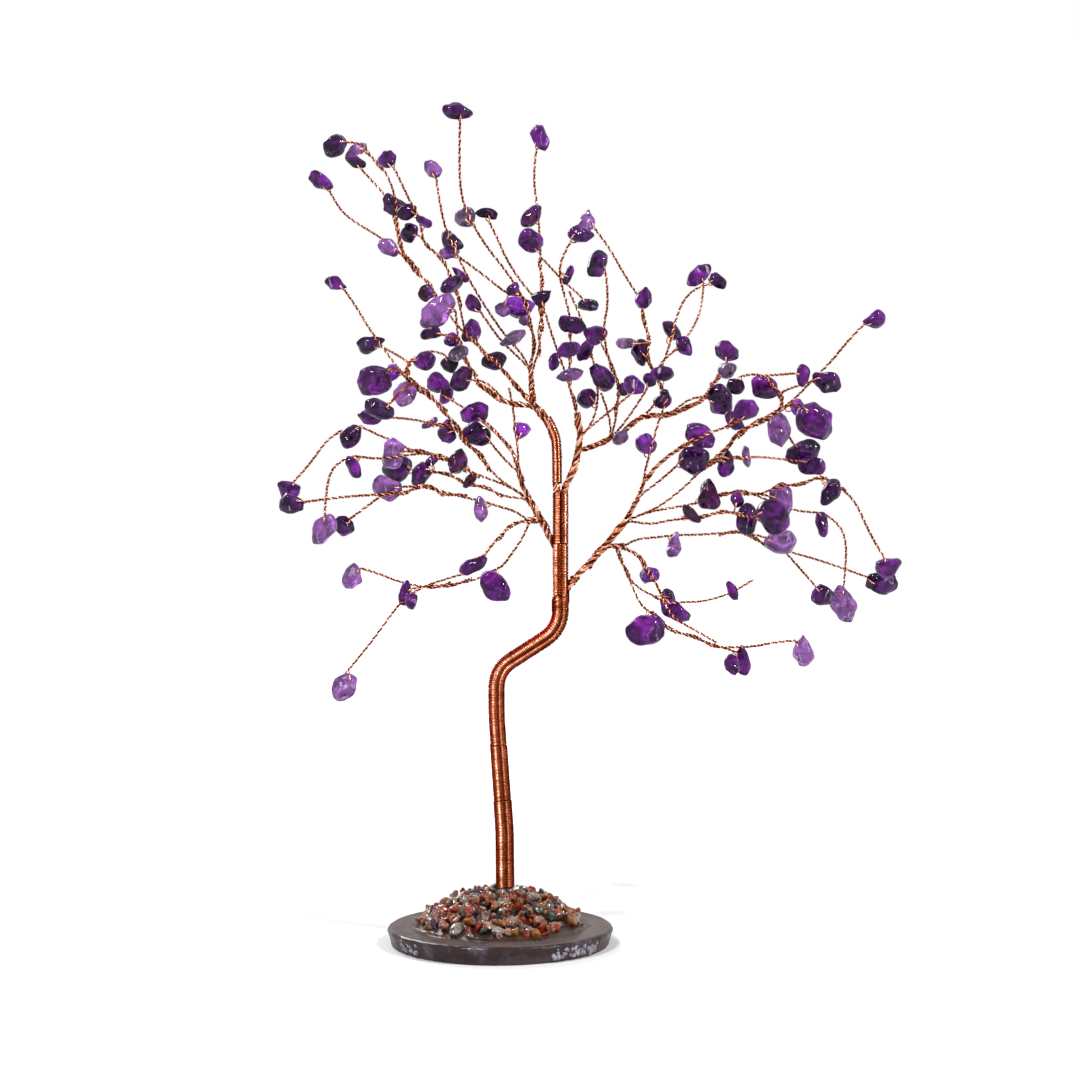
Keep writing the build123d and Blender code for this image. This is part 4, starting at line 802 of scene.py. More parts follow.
def spread(table, rows, known, counted, twin=False):
    """Grows each new route of the table with its chips, and returns the chips by route."""
    hung = {}
    for name, (parent, end_share, pixels) in table.items():
        if name in known or twin and name in LEFT_ONLY:
            continue
        if twin:
            pixels = [twin_point(*pixel) for pixel in pixels]
            end_share *= TWIN_DEPTH_SHARE
        route = grow(known[parent], end_share, pixels)
        known[name] = route
        hung[name] = []
        mine = [row for row in rows if row[0] == name]
        for _, side, middle, size, turn, kind in sorted(mine, key=lambda row: abs(row[1])):
            tone = tone_of(middle)
            if twin:
                middle, size, turn = twin_row(middle, size, turn)
            index = counted + count(hung)
            hung[name].append(Chip(route, side, middle, size, turn, kind, twin, index, tone))
    return hung


def tone_of(middle):
    """The tone of the chip seen here, which is violet where no other is named."""
    for tone, spots in CHIP_TONES_PX.items():
        if any(math.dist(spot, middle) < TONE_REACH_PX for spot in spots):
            return tone
    return "violet"


def count(hung):
    return sum(len(chips) for chips in hung.values())


# Lines

def smooth_points(points):
    """The points of a smooth line led by these points, from its first to its last."""
    curve = bpy.data.curves.new("route", "CURVE")
    curve.dimensions = "3D"
    curve.resolution_u = SMOOTH_STEPS
    spline = curve.splines.new("NURBS")
    spline.points.add(len(points) - 1)
    for spot, point in zip(spline.points, points):
        spot.co = (*point, 1)
    spline.order_u = 3
    spline.use_endpoint_u = True
    route = bpy.data.objects.new("route", curve)
    mesh = bpy.data.meshes.new_from_object(route)
    line = [vertex.co.copy() for vertex in mesh.vertices]
    bpy.data.meshes.remove(mesh)
    bpy.data.objects.remove(route)
    bpy.data.curves.remove(curve)
    return line


def unit(vectors):
    return vectors / np.linalg.norm(vectors, axis=-1, keepdims=True)


def full_turn(steps):
    """Angles in even steps round a circle."""
    return np.arange(steps) * 2 * math.pi / steps


def outwards(rights, backs, angle):
    """Directions at these angles, from right to back."""
    return rights * np.cos(angle)[:, None] + backs * np.sin(angle)[:, None]


def ring_faces(rings, sides, closed=False):
    """Faces between rings of points, and across both ends where they aren't closed."""
    start = np.arange(rings if closed else rings - 1)[:, None] * sides
    after = (start + sides) % (rings * sides)
    here = np.arange(sides)[None]
    beside = (here + 1) % sides
    quads = np.stack([start + here, start + beside, after + beside, after + here], -1)
    faces = quads.reshape(-1, 4).tolist()
    if not closed:
        faces.append(list(range(sides))[::-1])
        faces.append([(rings - 1) * sides + corner for corner in range(sides)])
    return faces


class Line:
    """A line through points, with two directions square to it that don't twist."""

    def __init__(self, points, right=(1, 0, 0)):
        points = np.array(points, dtype=float)
        runs = np.linalg.norm(np.diff(points, axis=0), axis=1)
        self.points = points[np.concatenate(([True], runs > SAME_SPOT))]
        runs = runs[runs > SAME_SPOT]
        self.travel = np.concatenate(([0], np.cumsum(runs)))
        self.length = self.travel[-1]
        self.along = unit(np.gradient(self.points, self.travel, axis=0))
        rights = []
        right = np.array(right, dtype=float)
        for along in self.along:
            right = right - along * right.dot(along)
            right = right / np.linalg.norm(right)
            rights.append(right)
        self.rights = np.array(rights)

    def at(self, travel):
        """Points, right and back directions at these distances from the start."""
        def between(values):
            return np.stack([np.interp(travel, self.travel, column) for column in values.T], 1)

        rights = unit(between(self.rights))
        return between(self.points), rights, np.cross(unit(between(self.along)), rights)

    def stretch(self, start, end, step):
        """The part of the line between two distances, in even steps."""
        steps = max(3, math.ceil((end - start) / step))
        points, rights, _ = self.at(np.linspace(start, end, steps + 1))
        return Line(points, rights[0])

    def near(self, point):
        """The distance from the start at which the line passes nearest to a point."""
        spots = np.linspace(0, self.length, max(2, int(self.length / NEAR_STEP)))
        points, _, _ = self.at(spots)
        return spots[np.argmin(np.linalg.norm(points - np.array(point), axis=1))]


def easy_line(points):
    """A smooth line through points, of which some may lie on one another."""
    points = [point for index, point in enumerate(points)
              if not index or (point - points[index - 1]).length > SAME_SPOT]
    return Line(smooth_points(points) if len(points) > 2 else points)


# Meshes

class Shape:
    """Points and faces that become one object."""

    def __init__(self):
        self.points, self.faces, self.finishes, self.polish = [], [], [], []
        self.count = 0

    def add(self, points, faces, finish=0, polish=0.5):
        self.points.append(np.asarray(points))
        self.polish.append(np.broadcast_to(polish, len(points)))
        self.faces.extend([[corner + self.count for corner in face] for face in faces])
        self.finishes.extend([finish] * len(faces))
        self.count += len(points)

    def tube(self, points, sideways, radius, sides, closed=False, polish=0.5):
        """A round wire along points. Sideways are directions roughly square to it."""
        points = np.asarray(points)
        if closed:
            along = np.roll(points, -1, axis=0) - np.roll(points, 1, axis=0)
        else:
            along = np.gradient(points, axis=0)
        along = unit(along)
        across = sideways - along * np.sum(sideways * along, axis=1, keepdims=True)
        across = unit(across)
        other = np.cross(along, across)
        turns = full_turn(sides)
        ring = (across[:, None] * np.cos(turns)[None, :, None]
                + other[:, None] * np.sin(turns)[None, :, None])
        radius = np.broadcast_to(radius, len(points))[:, None, None]
        corners = (points[:, None] + ring * radius).reshape(-1, 3)
        polish = np.broadcast_to(polish, len(points)).repeat(sides)
        self.add(corners, ring_faces(len(points), sides, closed), polish=polish)

    def finished(self, name, finishes, replaced):
        """Makes one object of everything added."""
        mesh = bpy.data.meshes.new(name)
        mesh.from_pydata(np.concatenate(self.points).tolist(), [], self.faces)
        mesh.polygons.foreach_set("material_index", self.finishes)
        # Each point's painted light, which the copper finishes turn into painted shade and painted
        # highlight
        polish = mesh.attributes.new("polish", "FLOAT", "POINT")
        polish.data.foreach_set("value", np.concatenate(self.polish))
        mesh.update()
        settle(name, mesh, finishes, replaced)


def stand(name, data):
    """A new object in the scene."""
    thing = bpy.data.objects.new(name, data)
    bpy.context.scene.collection.objects.link(thing)
    return thing


def settle(name, mesh, finishes, replaced):
    """The smooth object of a mesh, riding on the tree in place of its CAD nodes."""
    mesh.polygons.foreach_set("use_smooth", [True] * len(mesh.polygons))
    for finish in finishes:
        mesh.materials.append(finish)
    piece = stand(name, mesh)
    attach(piece, "root")
    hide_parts(*replaced)


def softened(mesh, levels):
    """The mesh after this many rounds of subdivision."""
    rough = stand("rough", mesh)
    rounds = rough.modifiers.new("Subdivision", "SUBSURF")
    rounds.levels = levels
    graph = bpy.context.evaluated_depsgraph_get()
    smooth = bpy.data.meshes.new_from_object(rough.evaluated_get(graph), depsgraph=graph)
    bpy.data.objects.remove(rough)
    bpy.data.meshes.remove(mesh)
    return smooth


def weathered(mesh, dents):
    """Moves the surface in and out by noise, given as (size, depth)."""
    number = len(mesh.vertices)
    places, normals = np.empty(number * 3), np.empty(number * 3)
    mesh.vertices.foreach_get("co", places)
    mesh.vertex_normals.foreach_get("vector", normals)
    places, normals = places.reshape(-1, 3), normals.reshape(-1, 3)
    moves = [sum(noise.noise(Vector(place_at) / size) * depth for size, depth in dents)
             for place_at in places]
    places += normals * np.array(moves)[:, None]
    mesh.vertices.foreach_set("co", places.ravel())
    mesh.update()


# Wires

def rope(shape, line, width, strands, seed=0):
    """Strands twisted round one another along a line, every other one painted dark as shade and
    the rest paler as painted highlight.
    """
    part = math.sin(math.pi / strands)
    wire = width * part / (1 + part)
    ring = (width - wire) / 2
    pitch = width * TWIST_PITCH[strands]
    steps = max(4, math.ceil(line.length / pitch * TWIST_STEPS[strands]))
    travel = np.linspace(0, line.length, steps + 1)
    points, rights, backs = line.at(travel)
    for strand in range(strands):
        wander = np.sin(travel / pitch * WANDER_RATE + strand * SPREAD_TURN + seed)
        wander = wander * TWIST_WANDER
        angle = 2 * math.pi * (travel / pitch + strand / strands) + seed + wander
        outward = outwards(rights, backs, angle)
        # Painted light: streaks along the strand, over a paler strand of painted highlight or a
        # dark strand of painted shade
        clean = np.sin(travel / STREAK_LENGTH + strand + seed * 3) * STREAK_PAINTED_LIGHT
        clean += STRAND_PAINTED_LIGHT[strand % 2]
        shape.tube(points + outward * ring, outward, wire / 2, STRAND_SIDES, polish=clean)


def loop(shape, chip, hook, wire):
    """The wire's thin ring, from the twig's end through the chip and back."""
    toward = hook - chip.bore
    reach = toward.length
    toward.normalize()
    axis = (chip.axis - toward * chip.axis.dot(toward)).normalized()
    wide = (chip.half + LOOP_ROOM) / LOOP_WIDEST
    turn = full_turn(LOOP_STEPS)
    out = reach * (1 + np.cos(turn)) / 2
    rise = wide * np.sin(turn) * np.sin(turn / 2)
    points = (np.array(chip.bore) + out[:, None] * np.array(toward)
              + rise[:, None] * np.array(axis))
    sideways = np.tile(np.array(toward.cross(axis)), (LOOP_STEPS, 1))
    # Painted light that rises and falls three times round the loop
    shape.tube(points, sideways, wire / 2, STRAND_SIDES, closed=True,
               polish=LOOP_PAINTED_LIGHT[0] + LOOP_PAINTED_LIGHT[1] * np.sin(turn * 3))


def wind(shape, line, outline, wire, pitch, tilt=0, streaks=TURN_STREAKS, bands=BANDS):
    """A wire wound along a line, round an outline of points about the line."""
    turns = (line.length - 2 * tilt) / pitch
    turn = np.arange(int(turns * TURN_STEPS) + 1) / TURN_STEPS
    angle = 2 * math.pi * turn
    reach = np.array([edge_share(outline, math.cos(spot), math.sin(spot))
                      for spot in angle[:TURN_STEPS]])
    reach = np.resize(reach, len(turn))
    quick, slow = SLACK_RATES
    slack = np.array([noise.noise((spot * quick, spot * slow, wire)) for spot in turn])
    travel = turn * pitch + tilt * (1 + np.cos(angle)) + slack * wire * WRAP_SLACK
    points, rights, backs = line.at(np.clip(travel, 0, line.length))
    outward = outwards(rights, backs, angle)
    dull = np.random.default_rng(math.ceil(turns)).random(math.ceil(turns) + 2)
    # Painted highlight stripes and painted shade by the side seen from the front, dimmed at random
    # turn by turn
    clean = np.resize(painted_light_across(outline, bands), len(turn))
    clean = clean * (1 - streaks * dull[np.round(turn + 0.5).astype(int)])
    shape.tube(points + outward * reach[:, None], outward, wire / 2, WRAP_SIDES,
               polish=clean)


def painted_light_across(outline, bands):
    """The painted light of a winding round this outline at each step of a turn, by where the step
    lies from left to right as seen from the front.
    """
    points = np.array([(math.cos(spot), math.sin(spot)) for spot in full_turn(TURN_STEPS)])
    points = points * np.array([edge_share(outline, *way) for way in points])[:, None]
    across = points[:, 0] / np.abs(points[:, 0]).max() * np.where(points[:, 1] > 0, -1, 1)
    return np.interp(across, *zip(*bands))


def sleeve(shape, line, outline):
    """The ground seen between the turns of a winding, in the second finish: copper darkened as
    painted shade.
    """
    steps = max(4, int(line.length / SLEEVE_STEP))
    points, rights, backs = line.at(np.linspace(0, line.length, steps + 1))
    angle = full_turn(TURN_STEPS)
    reach = [edge_share(outline, math.cos(spot), math.sin(spot)) for spot in angle]
    ring = (rights[:, None] * (np.cos(angle) * reach)[None, :, None]
            + backs[:, None] * (np.sin(angle) * reach)[None, :, None])
    shape.add((points[:, None] + ring).reshape(-1, 3), ring_faces(steps + 1, TURN_STEPS), 1)


def binding(spots, radius, dent, turned=0):
    """The outline, about their middle, of a wrapping pressed in between bundles."""
    middle = middle_of(spots)
    steps = [2 * math.pi * step / BUNDLE_STEPS for step in range(BUNDLE_STEPS)]
    spots = [Matrix.Rotation(turned, 2) @ (Vector(spot) - middle) for spot in spots]
    rounds = [[(spot.x + radius * math.cos(step), spot.y + radius * math.sin(step))
               for step in steps] for spot in spots]
    every = [point for around in rounds for point in around]
    hull = [every[index] for index in convex_order(every)]
    outline = []
    for step in steps:
        way = (math.cos(step), math.sin(step))
        full = edge_share(hull, *way)
        pressed = max(edge_share(around, *way) for around in rounds)
        reach = full + (max(pressed, full - radius) - full) * dent
        outline.append((way[0] * reach, way[1] * reach))
    return outline


def middle_of(spots):
    return sum((Vector(spot) for spot in spots), Vector((0, 0))) / len(spots)


def convex_order(points):
    """The points on the outside of a flat set, in order round it."""
    order = sorted(range(len(points)), key=lambda index: points[index])

    def half(indices):
        chain = []
        for index in indices:
            while len(chain) > 1:
                (ax, ay), (bx, by), (cx, cy) = (points[spot] for spot in
                                                (chain[-2], chain[-1], index))
                if (bx - ax) * (cy - ay) - (by - ay) * (cx - ax) > 0:
                    break
                chain.pop()
            chain.append(index)
        return chain[:-1]

    return half(order) + half(order[::-1])


# The trunk's line, and where each bough leaves it

def bent_line(corners, radii):
    """Straight runs joined by arcs of these radii."""
    points = [corners[0]]
    for before, corner, after, radius in zip(corners, corners[1:], corners[2:], radii):
        back, on = (before - corner).normalized(), (after - corner).normalized()
        half = back.angle(on) / 2
        start = corner + back * (radius / math.tan(half))
        centre = corner + (back + on).normalized() * (radius / math.sin(half))
        first = start - centre
        sweep = math.pi - 2 * half
        steps = max(2, math.ceil(sweep / ARC_STEP))
        axis = back.cross(on).normalized()
        for step in range(steps + 1):
            turn = Quaternion(axis, -sweep * step / steps)
            points.append(centre + turn @ first)
    points.append(corners[-1])
    return points


def trunk_line():
    """The trunk's middle from the heap to the top of its wrappings."""
    corners = [Vector((side_of(x), 0, height_of(y))) for x, y in TRUNK_PX]
    corners[0].z = ROOT_HEIGHT
    corners.append(Vector((STEM_X, 0, height_of(TRUNK_TOP_PX))))
    return Line(bent_line(corners, TRUNK_RADII))


def trunk_stretch(low_px, high_px):
    """The trunk's middle between two heights in the photograph."""
    trunk = trunk_line()
    heights = trunk.points[:, 2]
    low, high = (np.interp(height, heights, trunk.travel)
                 for height in (height_of(low_px), height_of(high_px)))
    return trunk.stretch(low, high, TRUNK_STEP)


def on_stem(x, y, y_px):
    """A point in the upper trunk, beside its middle."""
    return Vector((STEM_X + x, y, height_of(y_px)))


def bundle_line(x, y, top_px, beyond):
    """A bundle's whole line: up inside the trunk, and on along its bough."""
    trunk = trunk_stretch(ROOT_PX, top_px)
    points = trunk.points + trunk.rights * x + np.cross(trunk.along, trunk.rights) * y
    points = [Vector(point) for point in points]
    bough = smooth_points([points[-EXIT_STEPS], points[-1]] + list(beyond))
    return Line(points[:-EXIT_STEPS] + bough)


def crown_points():
    """The points of the crown's bough, which bends away above the trunk."""
    stem = [on_stem(-COLUMN, -COLUMN, y_px) for _, y_px in CROWN_BOUGH_PX[:2]]
    return stem + [place(*pixel, -COLUMN / CROWN_DEPTH) for pixel in CROWN_BOUGH_PX[2:]]


def grow_tree():
    """Every route and its chips, by side: ({name: route}, {name: chips})."""
    boughs = {}
    for name, (x, y, exit_px, depth_share, pixels) in BOUGHS.items():
        start = on_stem(x, y, exit_px)
        first = (MIDDLE_PX + (start.x - VIEW_SIDE) / PHOTO_M_PER_PX, exit_px)
        inside = Route([(first[0], exit_px + 1), first],
                       [start - Vector((0, 0, EXIT_RUN)), start])
        boughs[name] = grow(inside, depth_share, [first] + pixels)
    boughs["crown"] = Route(CROWN_BOUGH_PX, crown_points())

    left = {"bough": boughs["left"]}
    left_hung = spread(LEFT_ROUTES, LEFT_STONES, left, 0)
    counted = count(left_hung)
    crown = {"crown_bough": boughs["crown"], "centre_bough": boughs["centre"]}
    crown_hung = spread(CROWN_ROUTES, CROWN_STONES, crown, counted)
    counted += count(crown_hung)
    right = {"bough": boughs["right"], "bough_low": grow(boughs["right"], *RIGHT_LOW)}
    right_hung = spread(LEFT_ROUTES, LEFT_STONES, right, counted, twin=True)
    right["right_shoulder"] = grow(crown["twin_mast"], *RIGHT_SHOULDER)
    right_hung.update(spread(RIGHT_SHOULDER_ROUTES, RIGHT_SHOULDER_STONES, right,
                             counted + count(right_hung), twin=True))
    right_hung.update(spread(RIGHT_ROUTES, RIGHT_STONES, right, counted + count(right_hung)))
    return {"left": (left, left_hung), "crown": (crown, crown_hung),
            "right": (right, right_hung)}, boughs


def groups_of(side):
    """Which routes each piece of a side holds."""
    if side == "crown":
        return CROWN_GROUPS
    if side == "left":
        return LEFT_GROUPS
    groups = {group: tuple(name for name in names if name not in LEFT_ONLY)
              + RIGHT_EXTRAS.get(group, ()) for group, names in LEFT_GROUPS.items()}
    groups["shoulder"] = ("right_shoulder", "shoulder", "elbow", "strand", "top")
    return groups


def parent_of(side, name):
    """The side and name of the route that this one leaves."""
    for table in ROUTE_TABLES[side]:
        if name in table:
            return side, table[name][0]
    return "crown", "twin_mast"


def drawn_lines(sides, boughs):
    """A smooth line for every route, which leaves its parent's line along it."""
    lines = {}
    for name, (x, y, exit_px, _, _) in BOUGHS.items():
        lines[BOUGH_KEYS[name]] = bundle_line(x, y, exit_px, boughs[name].points[1:])
    lines[BOUGH_KEYS["crown"]] = bundle_line(-COLUMN, -COLUMN, CROWN_BOUGH_PX[0][1],
                                             crown_points()[1:])
    for side, (routes, _) in sides.items():
        for name, route in routes.items():
            if (side, name) in lines:
                continue
            parent = lines[parent_of(side, name)]
            fork = parent.near(route.points[0])
            run = min(fork, JOIN_RUN * (1 + len(lines) % 3))
            steps = np.linspace(fork - run, fork, max(3, int(run / JOIN_STEP)))
            joined, rights, backs = parent.at(steps)
            turn = len(lines) * SPREAD_TURN + steps / JOIN_PITCH * 2 * math.pi
            beside = outwards(rights, backs, turn) * JOIN_GAP
            beside[-1] *= JOIN_LAST_SHARE
            joined = [Vector(point) for point in joined + beside]
            lines[side, name] = easy_line(joined + route.points[1:])
    return lines


# Finishes

class Nodes:
    """The nodes of a material or of the world."""

    def __init__(self, tree):
        self.nodes, self.links = tree.nodes, tree.links

    def put(self, socket, value):
        """Sets a socket, or links it where the value is another node's output."""
        if isinstance(value, bpy.types.NodeSocket):
            self.links.new(value, socket)
        else:
            socket.default_value = value

    def add(self, kind, output, inputs, **settings):
        """An output of a new node, with its inputs set by name or number."""
        node = self.nodes.new("ShaderNode" + kind)
        for name, value in settings.items():
            setattr(node, name, value)
        for name, value in inputs.items():
            self.put(node.inputs[name], value)
        return node.outputs[output]

    def maths(self, operation, first, second):
        """Two values joined by this operation."""
        return self.add("Math", 0, {0: first, 1: second}, operation=operation)

    def seen_rays(self):
        """1 for rays from the camera, off gloss and through glass, and 0 for light."""
        camera, gloss, glass = (self.add("LightPath", f"Is {kind} Ray", {})
                                for kind in ("Camera", "Glossy", "Transmission"))
        return self.maths("MAXIMUM", self.maths("MAXIMUM", camera, gloss), glass)


class Finish(Nodes):
    """A material, and the nodes that vary its colour, gloss and relief."""

    def __init__(self, name):
        self.material = bpy.data.materials.new(name)
        self.material.use_nodes = True
        super().__init__(self.material.node_tree)
        self.shader = self.nodes["Principled BSDF"]
        self.place = self.add("TexCoord", "Object", {})

    def body(self, **values):
        for name, value in values.items():
            self.put(self.shader.inputs[name.replace("_", " ")], value)

    def grain(self, scale, detail=3, roughness=0.55, warp=0, stretch=None):
        """Noise at this many features a metre, which may be stretched."""
        place_at = self.stretched(stretch) if stretch else self.place
        return self.add("TexNoise", "Fac", {
            "Scale": scale, "Detail": detail, "Roughness": roughness, "Distortion": warp,
            "Vector": place_at})

    def stretched(self, shares):
        """The place, stretched by these shares along the three directions."""
        return self.add("Mapping", "Vector", {"Vector": self.place, "Scale": shares})

    def reach(self, place_at):
        """How far this place is from the middle."""
        return self.add("VectorMath", "Value", {0: place_at}, operation="LENGTH")

    def shades(self, value, *stops):
        """A colour for each level of a value."""
        ramp = self.nodes.new("ShaderNodeValToRGB")
        self.put(ramp.inputs["Fac"], value)
        spots = ramp.color_ramp.elements
        while len(spots) < len(stops):
            spots.new(1)
        for spot, (level, colour) in zip(spots, stops):
            spot.position = level
            spot.color = (*colour[:3], 1)
        return ramp.outputs["Color"]

    def levels(self, value, low, high, least=0.0, most=1.0):
        """A value stretched from one range to another."""
        return self.add("MapRange", "Result", {
            "Value": value, "From Min": low, "From Max": high, "To Min": least,
            "To Max": most})

    def varied(self, value, least, most):
        """A range followed by noise, whose own values lie about the middle."""
        return self.levels(value, 0.3, 0.7, least, most)

    def blend(self, share, first, second):
        """A mixture of two colours, which are the node's inputs 6 and 7."""
        return self.add("Mix", 2, {"Factor": share, 6: first, 7: second}, data_type="RGBA")

    def gloss(self, facing, edge):
        """How strongly the surface mirrors, seen square on and seen along it."""
        # The socket keeps this plain value under the link
        self.body(Specular_IOR_Level=facing)
        view = self.add("LayerWeight", "Facing", {"Blend": 0.5})
        self.body(Specular_IOR_Level=self.levels(view, 0.25, 0.85, facing, edge))

    def relief(self, height, depth, strength=1.0):
        """Bumps this deep, over any relief already there."""
        inputs = {"Height": height, "Distance": depth, "Strength": strength}
        under = self.shader.inputs["Normal"]
        if under.is_linked:
            inputs["Normal"] = under.links[0].from_socket
        self.put(under, self.add("Bump", "Normal", inputs))


def shaded(colour, share):
    return tuple(part * share for part in colour[:3])


def tinted(colour, shares):
    return tuple(part * share for part, share in zip(colour, shares))


def copper_finish(name, colour, clean):
    """Drawn wire with random tarnish patches: painted shade in browns where its painted light
    attribute is low, painted highlight in pale copper where it is high.
    """
    finish = Finish(name)
    polish = finish.add("Attribute", "Fac", {}, attribute_name="polish")
    patches = finish.levels(finish.grain(150, 4, 0.6), 0.35, 0.65, -TARNISH, TARNISH)
    fine = finish.grain(2600, 2)
    finish.body(
        Base_Color=finish.shades(finish.maths("ADD", polish, patches),
                                 (0.0, tinted(colour, DEEP_SHADE_AND_TARNISH)),
                                 (0.25, tinted(colour, SHADE_AND_TARNISH)), (0.55, colour),
                                 (0.85, clean)),
        Metallic=1.0,
        Specular_Tint=(0.45, 0.14, 0.07, 1),
        Roughness=finish.varied(fine, 0.16, 0.34),
    )
    finish.relief(fine, 0.03 * MM, 0.5)
    return finish.material


def crystal_finish(name, deep, clear, milk, glow):
    """Polished crystal: cloudy colour inside, fine veins, and a few milky streaks."""
    finish = Finish(name)
    clouds = finish.grain(260, 3, 0.5, 0.8)
    streaks = finish.grain(330, 2, 0.5, 2.0, (1, 1, 0.4))
    body = finish.shades(clouds, (0.40, shaded(deep, 0.45)), (0.52, deep), (0.60, clear),
                         (0.70, shaded(clear, 1.7)))
    milky = finish.levels(streaks, 0.67 - milk, 0.75 - milk, 0.0, 0.75)
    finish.body(
        Base_Color=finish.blend(milky, body, (0.60, 0.50, 0.68, 1)),
        Roughness=finish.varied(finish.grain(700), 0.03, 0.09),
        IOR=QUARTZ_IOR,
        Transmission_Weight=glow,
    )
    finish.gloss(0.09, 0.0)
    finish.relief(finish.grain(420, 2), 0.04 * MM, 0.4)
    return finish.material


def mineral_finish(name, dark, light, swirl, glow):
    """A tumbled gravel chip, cloudy and banded with a paler or rusty swirl."""
    finish = Finish(name)
    body = finish.shades(finish.grain(330, 4, 0.6, 1.5), (0.42, dark), (0.56, light))
    bands = finish.levels(finish.grain(190, 3, 0.5, 4.0), 0.57, 0.66, 0.0, 0.7)
    finish.body(
        Base_Color=finish.blend(bands, body, (*swirl, 1)),
        Roughness=finish.varied(finish.grain(800), 0.02, 0.10),
        IOR=QUARTZ_IOR,
        Transmission_Weight=glow,
    )
    finish.gloss(0.38, 0.0)
    finish.relief(finish.grain(900, 4), 0.08 * MM, 0.7)
    return finish.material


def agate_finish(name, face, rim):
    """The slice: faint rings across its polished face, and a clouded, frosted rim."""
    finish = Finish(name)
    rings = finish.add("TexWave", "Fac", {
        "Vector": finish.place, "Scale": 60, "Distortion": 7, "Detail": 4,
        "Detail Scale": 1.4}, wave_type="RINGS", rings_direction="Z")
    body = finish.shades(finish.grain(60, 5, 0.6, 0.8), (0.35, shaded(face, 0.80)),
                         (0.52, face), (0.68, shaded(face, 1.25)))
    body = finish.blend(finish.levels(rings, 0.62, 0.95, 0.0, 0.25), body,
                        (*shaded(face, 1.6), 1))
    outer = finish.levels(finish.reach(finish.stretched((1, 1, 0))),
                          SLICE_RADIUS - RIM_FROST[0], SLICE_RADIUS - RIM_FROST[1])
    frost = finish.shades(finish.grain(130, 4, 0.6), (0.34, shaded(rim, 0.55)), (0.52, rim),
                          (0.64, (0.080, 0.064, 0.088)))
    finish.body(
        Base_Color=finish.blend(outer, body, frost),
        Roughness=finish.varied(finish.grain(500, 4), 0.12, 0.34),
        Coat_Weight=finish.levels(outer, 0.0, 1.0, 0.0, 0.28),
        Coat_Roughness=0.06,
    )
    finish.gloss(0.10, 0.003)
    finish.relief(finish.grain(420, 4), 0.06 * MM, 0.3)
    return finish.material


def glue_finish(name, colour):
    """Wet-looking glue, clouded darker and paler, with dust and bubbles in it."""
    finish = Finish(name)
    clouds = finish.grain(240, 4, 0.6)
    bubbles = finish.add("TexVoronoi", "Distance", {"Vector": finish.place, "Scale": 1500})
    finish.body(
        Base_Color=finish.shades(clouds, (0.34, shaded(colour, 0.55)),
                                 (0.66, shaded(colour, 1.4))),
        Roughness=finish.varied(clouds, 0.10, 0.30),
    )
    finish.gloss(0.35, 0.004)
    finish.relief(bubbles, 0.12 * MM, 0.5)
    finish.relief(finish.grain(500, 3), 0.2 * MM, 0.6)
    return finish.material


def floor_finish():
    """White paper that keeps the shadow, and looks white where light falls on it."""
    finish = Finish("floor_paper")
    finish.body(Base_Color=finish.shades(finish.grain(900, 3), (0.3, (0.68, 0.68, 0.68)),
                                         (0.7, (0.71, 0.71, 0.71))),
                Roughness=0.9, Specular_IOR_Level=0.0)
    lift = finish.levels(finish.reach(finish.place), *FLOOR_FADE, FLOOR_LIFT, 1.0)
    glow = finish.add("Emission", 0, {
        "Strength": finish.maths("MULTIPLY", finish.seen_rays(), lift)})
    both = finish.add("AddShader", 0, {0: finish.shader.outputs[0], 1: glow})
    finish.put(finish.nodes["Material Output"].inputs["Surface"], both)
    return finish.material


# The tree, worked out once for all its pieces

sides, boughs = grow_tree()
lines = drawn_lines(sides, boughs)


def twig_piece(side, group, width_share, copper):
    """One spray of twisted twigs with the loops that hold its chips."""
    shape = Shape()
    for order, name in enumerate(groups_of(side)[group]):
        line = lines[side, name]
        width, strands = THICK.get(name, (TWIST_WIDTH, 2))
        rope(shape, line, width * width_share, strands, order * GROUP_TURN)
        for chip in sides[side][1].get(name, []):
            hook = Vector(line.at([line.near(chip.hook)])[0][0])
            loop(shape, chip, hook, LOOP_WIRE * width_share)
    shape.finished(f"{side}_{group}_twigs", [copper],
                   [f"{side}_{group}_wires"])


def chip_piece(side, group, tones, levels):
    """The polished chips of one spray."""
    names = groups_of(side)[group]
    chips = [chip for name in names for chip in sides[side][1].get(name, [])]
    points, faces, finishes = [], [], []
    picker = np.random.default_rng(CHIP_SEED + len(chips) + len(group) * 7)
    order = list(tones)
    for chip in chips:
        first, corners = len(points), len(chip.outline)
        for level, share, shift in ((-CAGE_THICK, CAP_SHARE, -chip.shift), (0, 1, 0),
                                    (CAGE_THICK, CAP_SHARE, chip.shift)):
            for x, y in chip.outline:
                points.append(chip.middle + chip.axis * chip.half * level
                              + chip.long_way * (x * share * CAGE_WIDE + shift)
                              + chip.short_way * (y * share * CAGE_WIDE - shift))
        for step in range(corners):
            after = (step + 1) % corners
            for row in (0, corners):
                faces.append([first + row + step, first + row + after,
                              first + row + corners + after, first + row + corners + step])
        faces.append([first + step for step in range(corners)][::-1])
        faces.append([first + 2 * corners + step for step in range(corners)])
        finishes.extend([order.index(chip.tone)] * (2 * corners + 2))
    mesh = bpy.data.meshes.new("cage")
    mesh.from_pydata(points, [], faces)
    mesh.polygons.foreach_set("material_index", finishes)
    cage = bmesh.new()
    cage.from_mesh(mesh)
    bmesh.ops.recalc_face_normals(cage, faces=cage.faces)
    cage.to_mesh(mesh)
    cage.free()
    sharp = mesh.attributes.new("crease_edge", "FLOAT", "EDGE")
    sharp.data.foreach_set("value", picker.uniform(*CREASE_RANGE, len(mesh.edges)))
    mesh = softened(mesh, levels)
    weathered(mesh, CHIP_DENTS)
    settle(f"{side}_{group}_chips", mesh, list(tones.values()),
           [f"{side}_{group}_stones"])


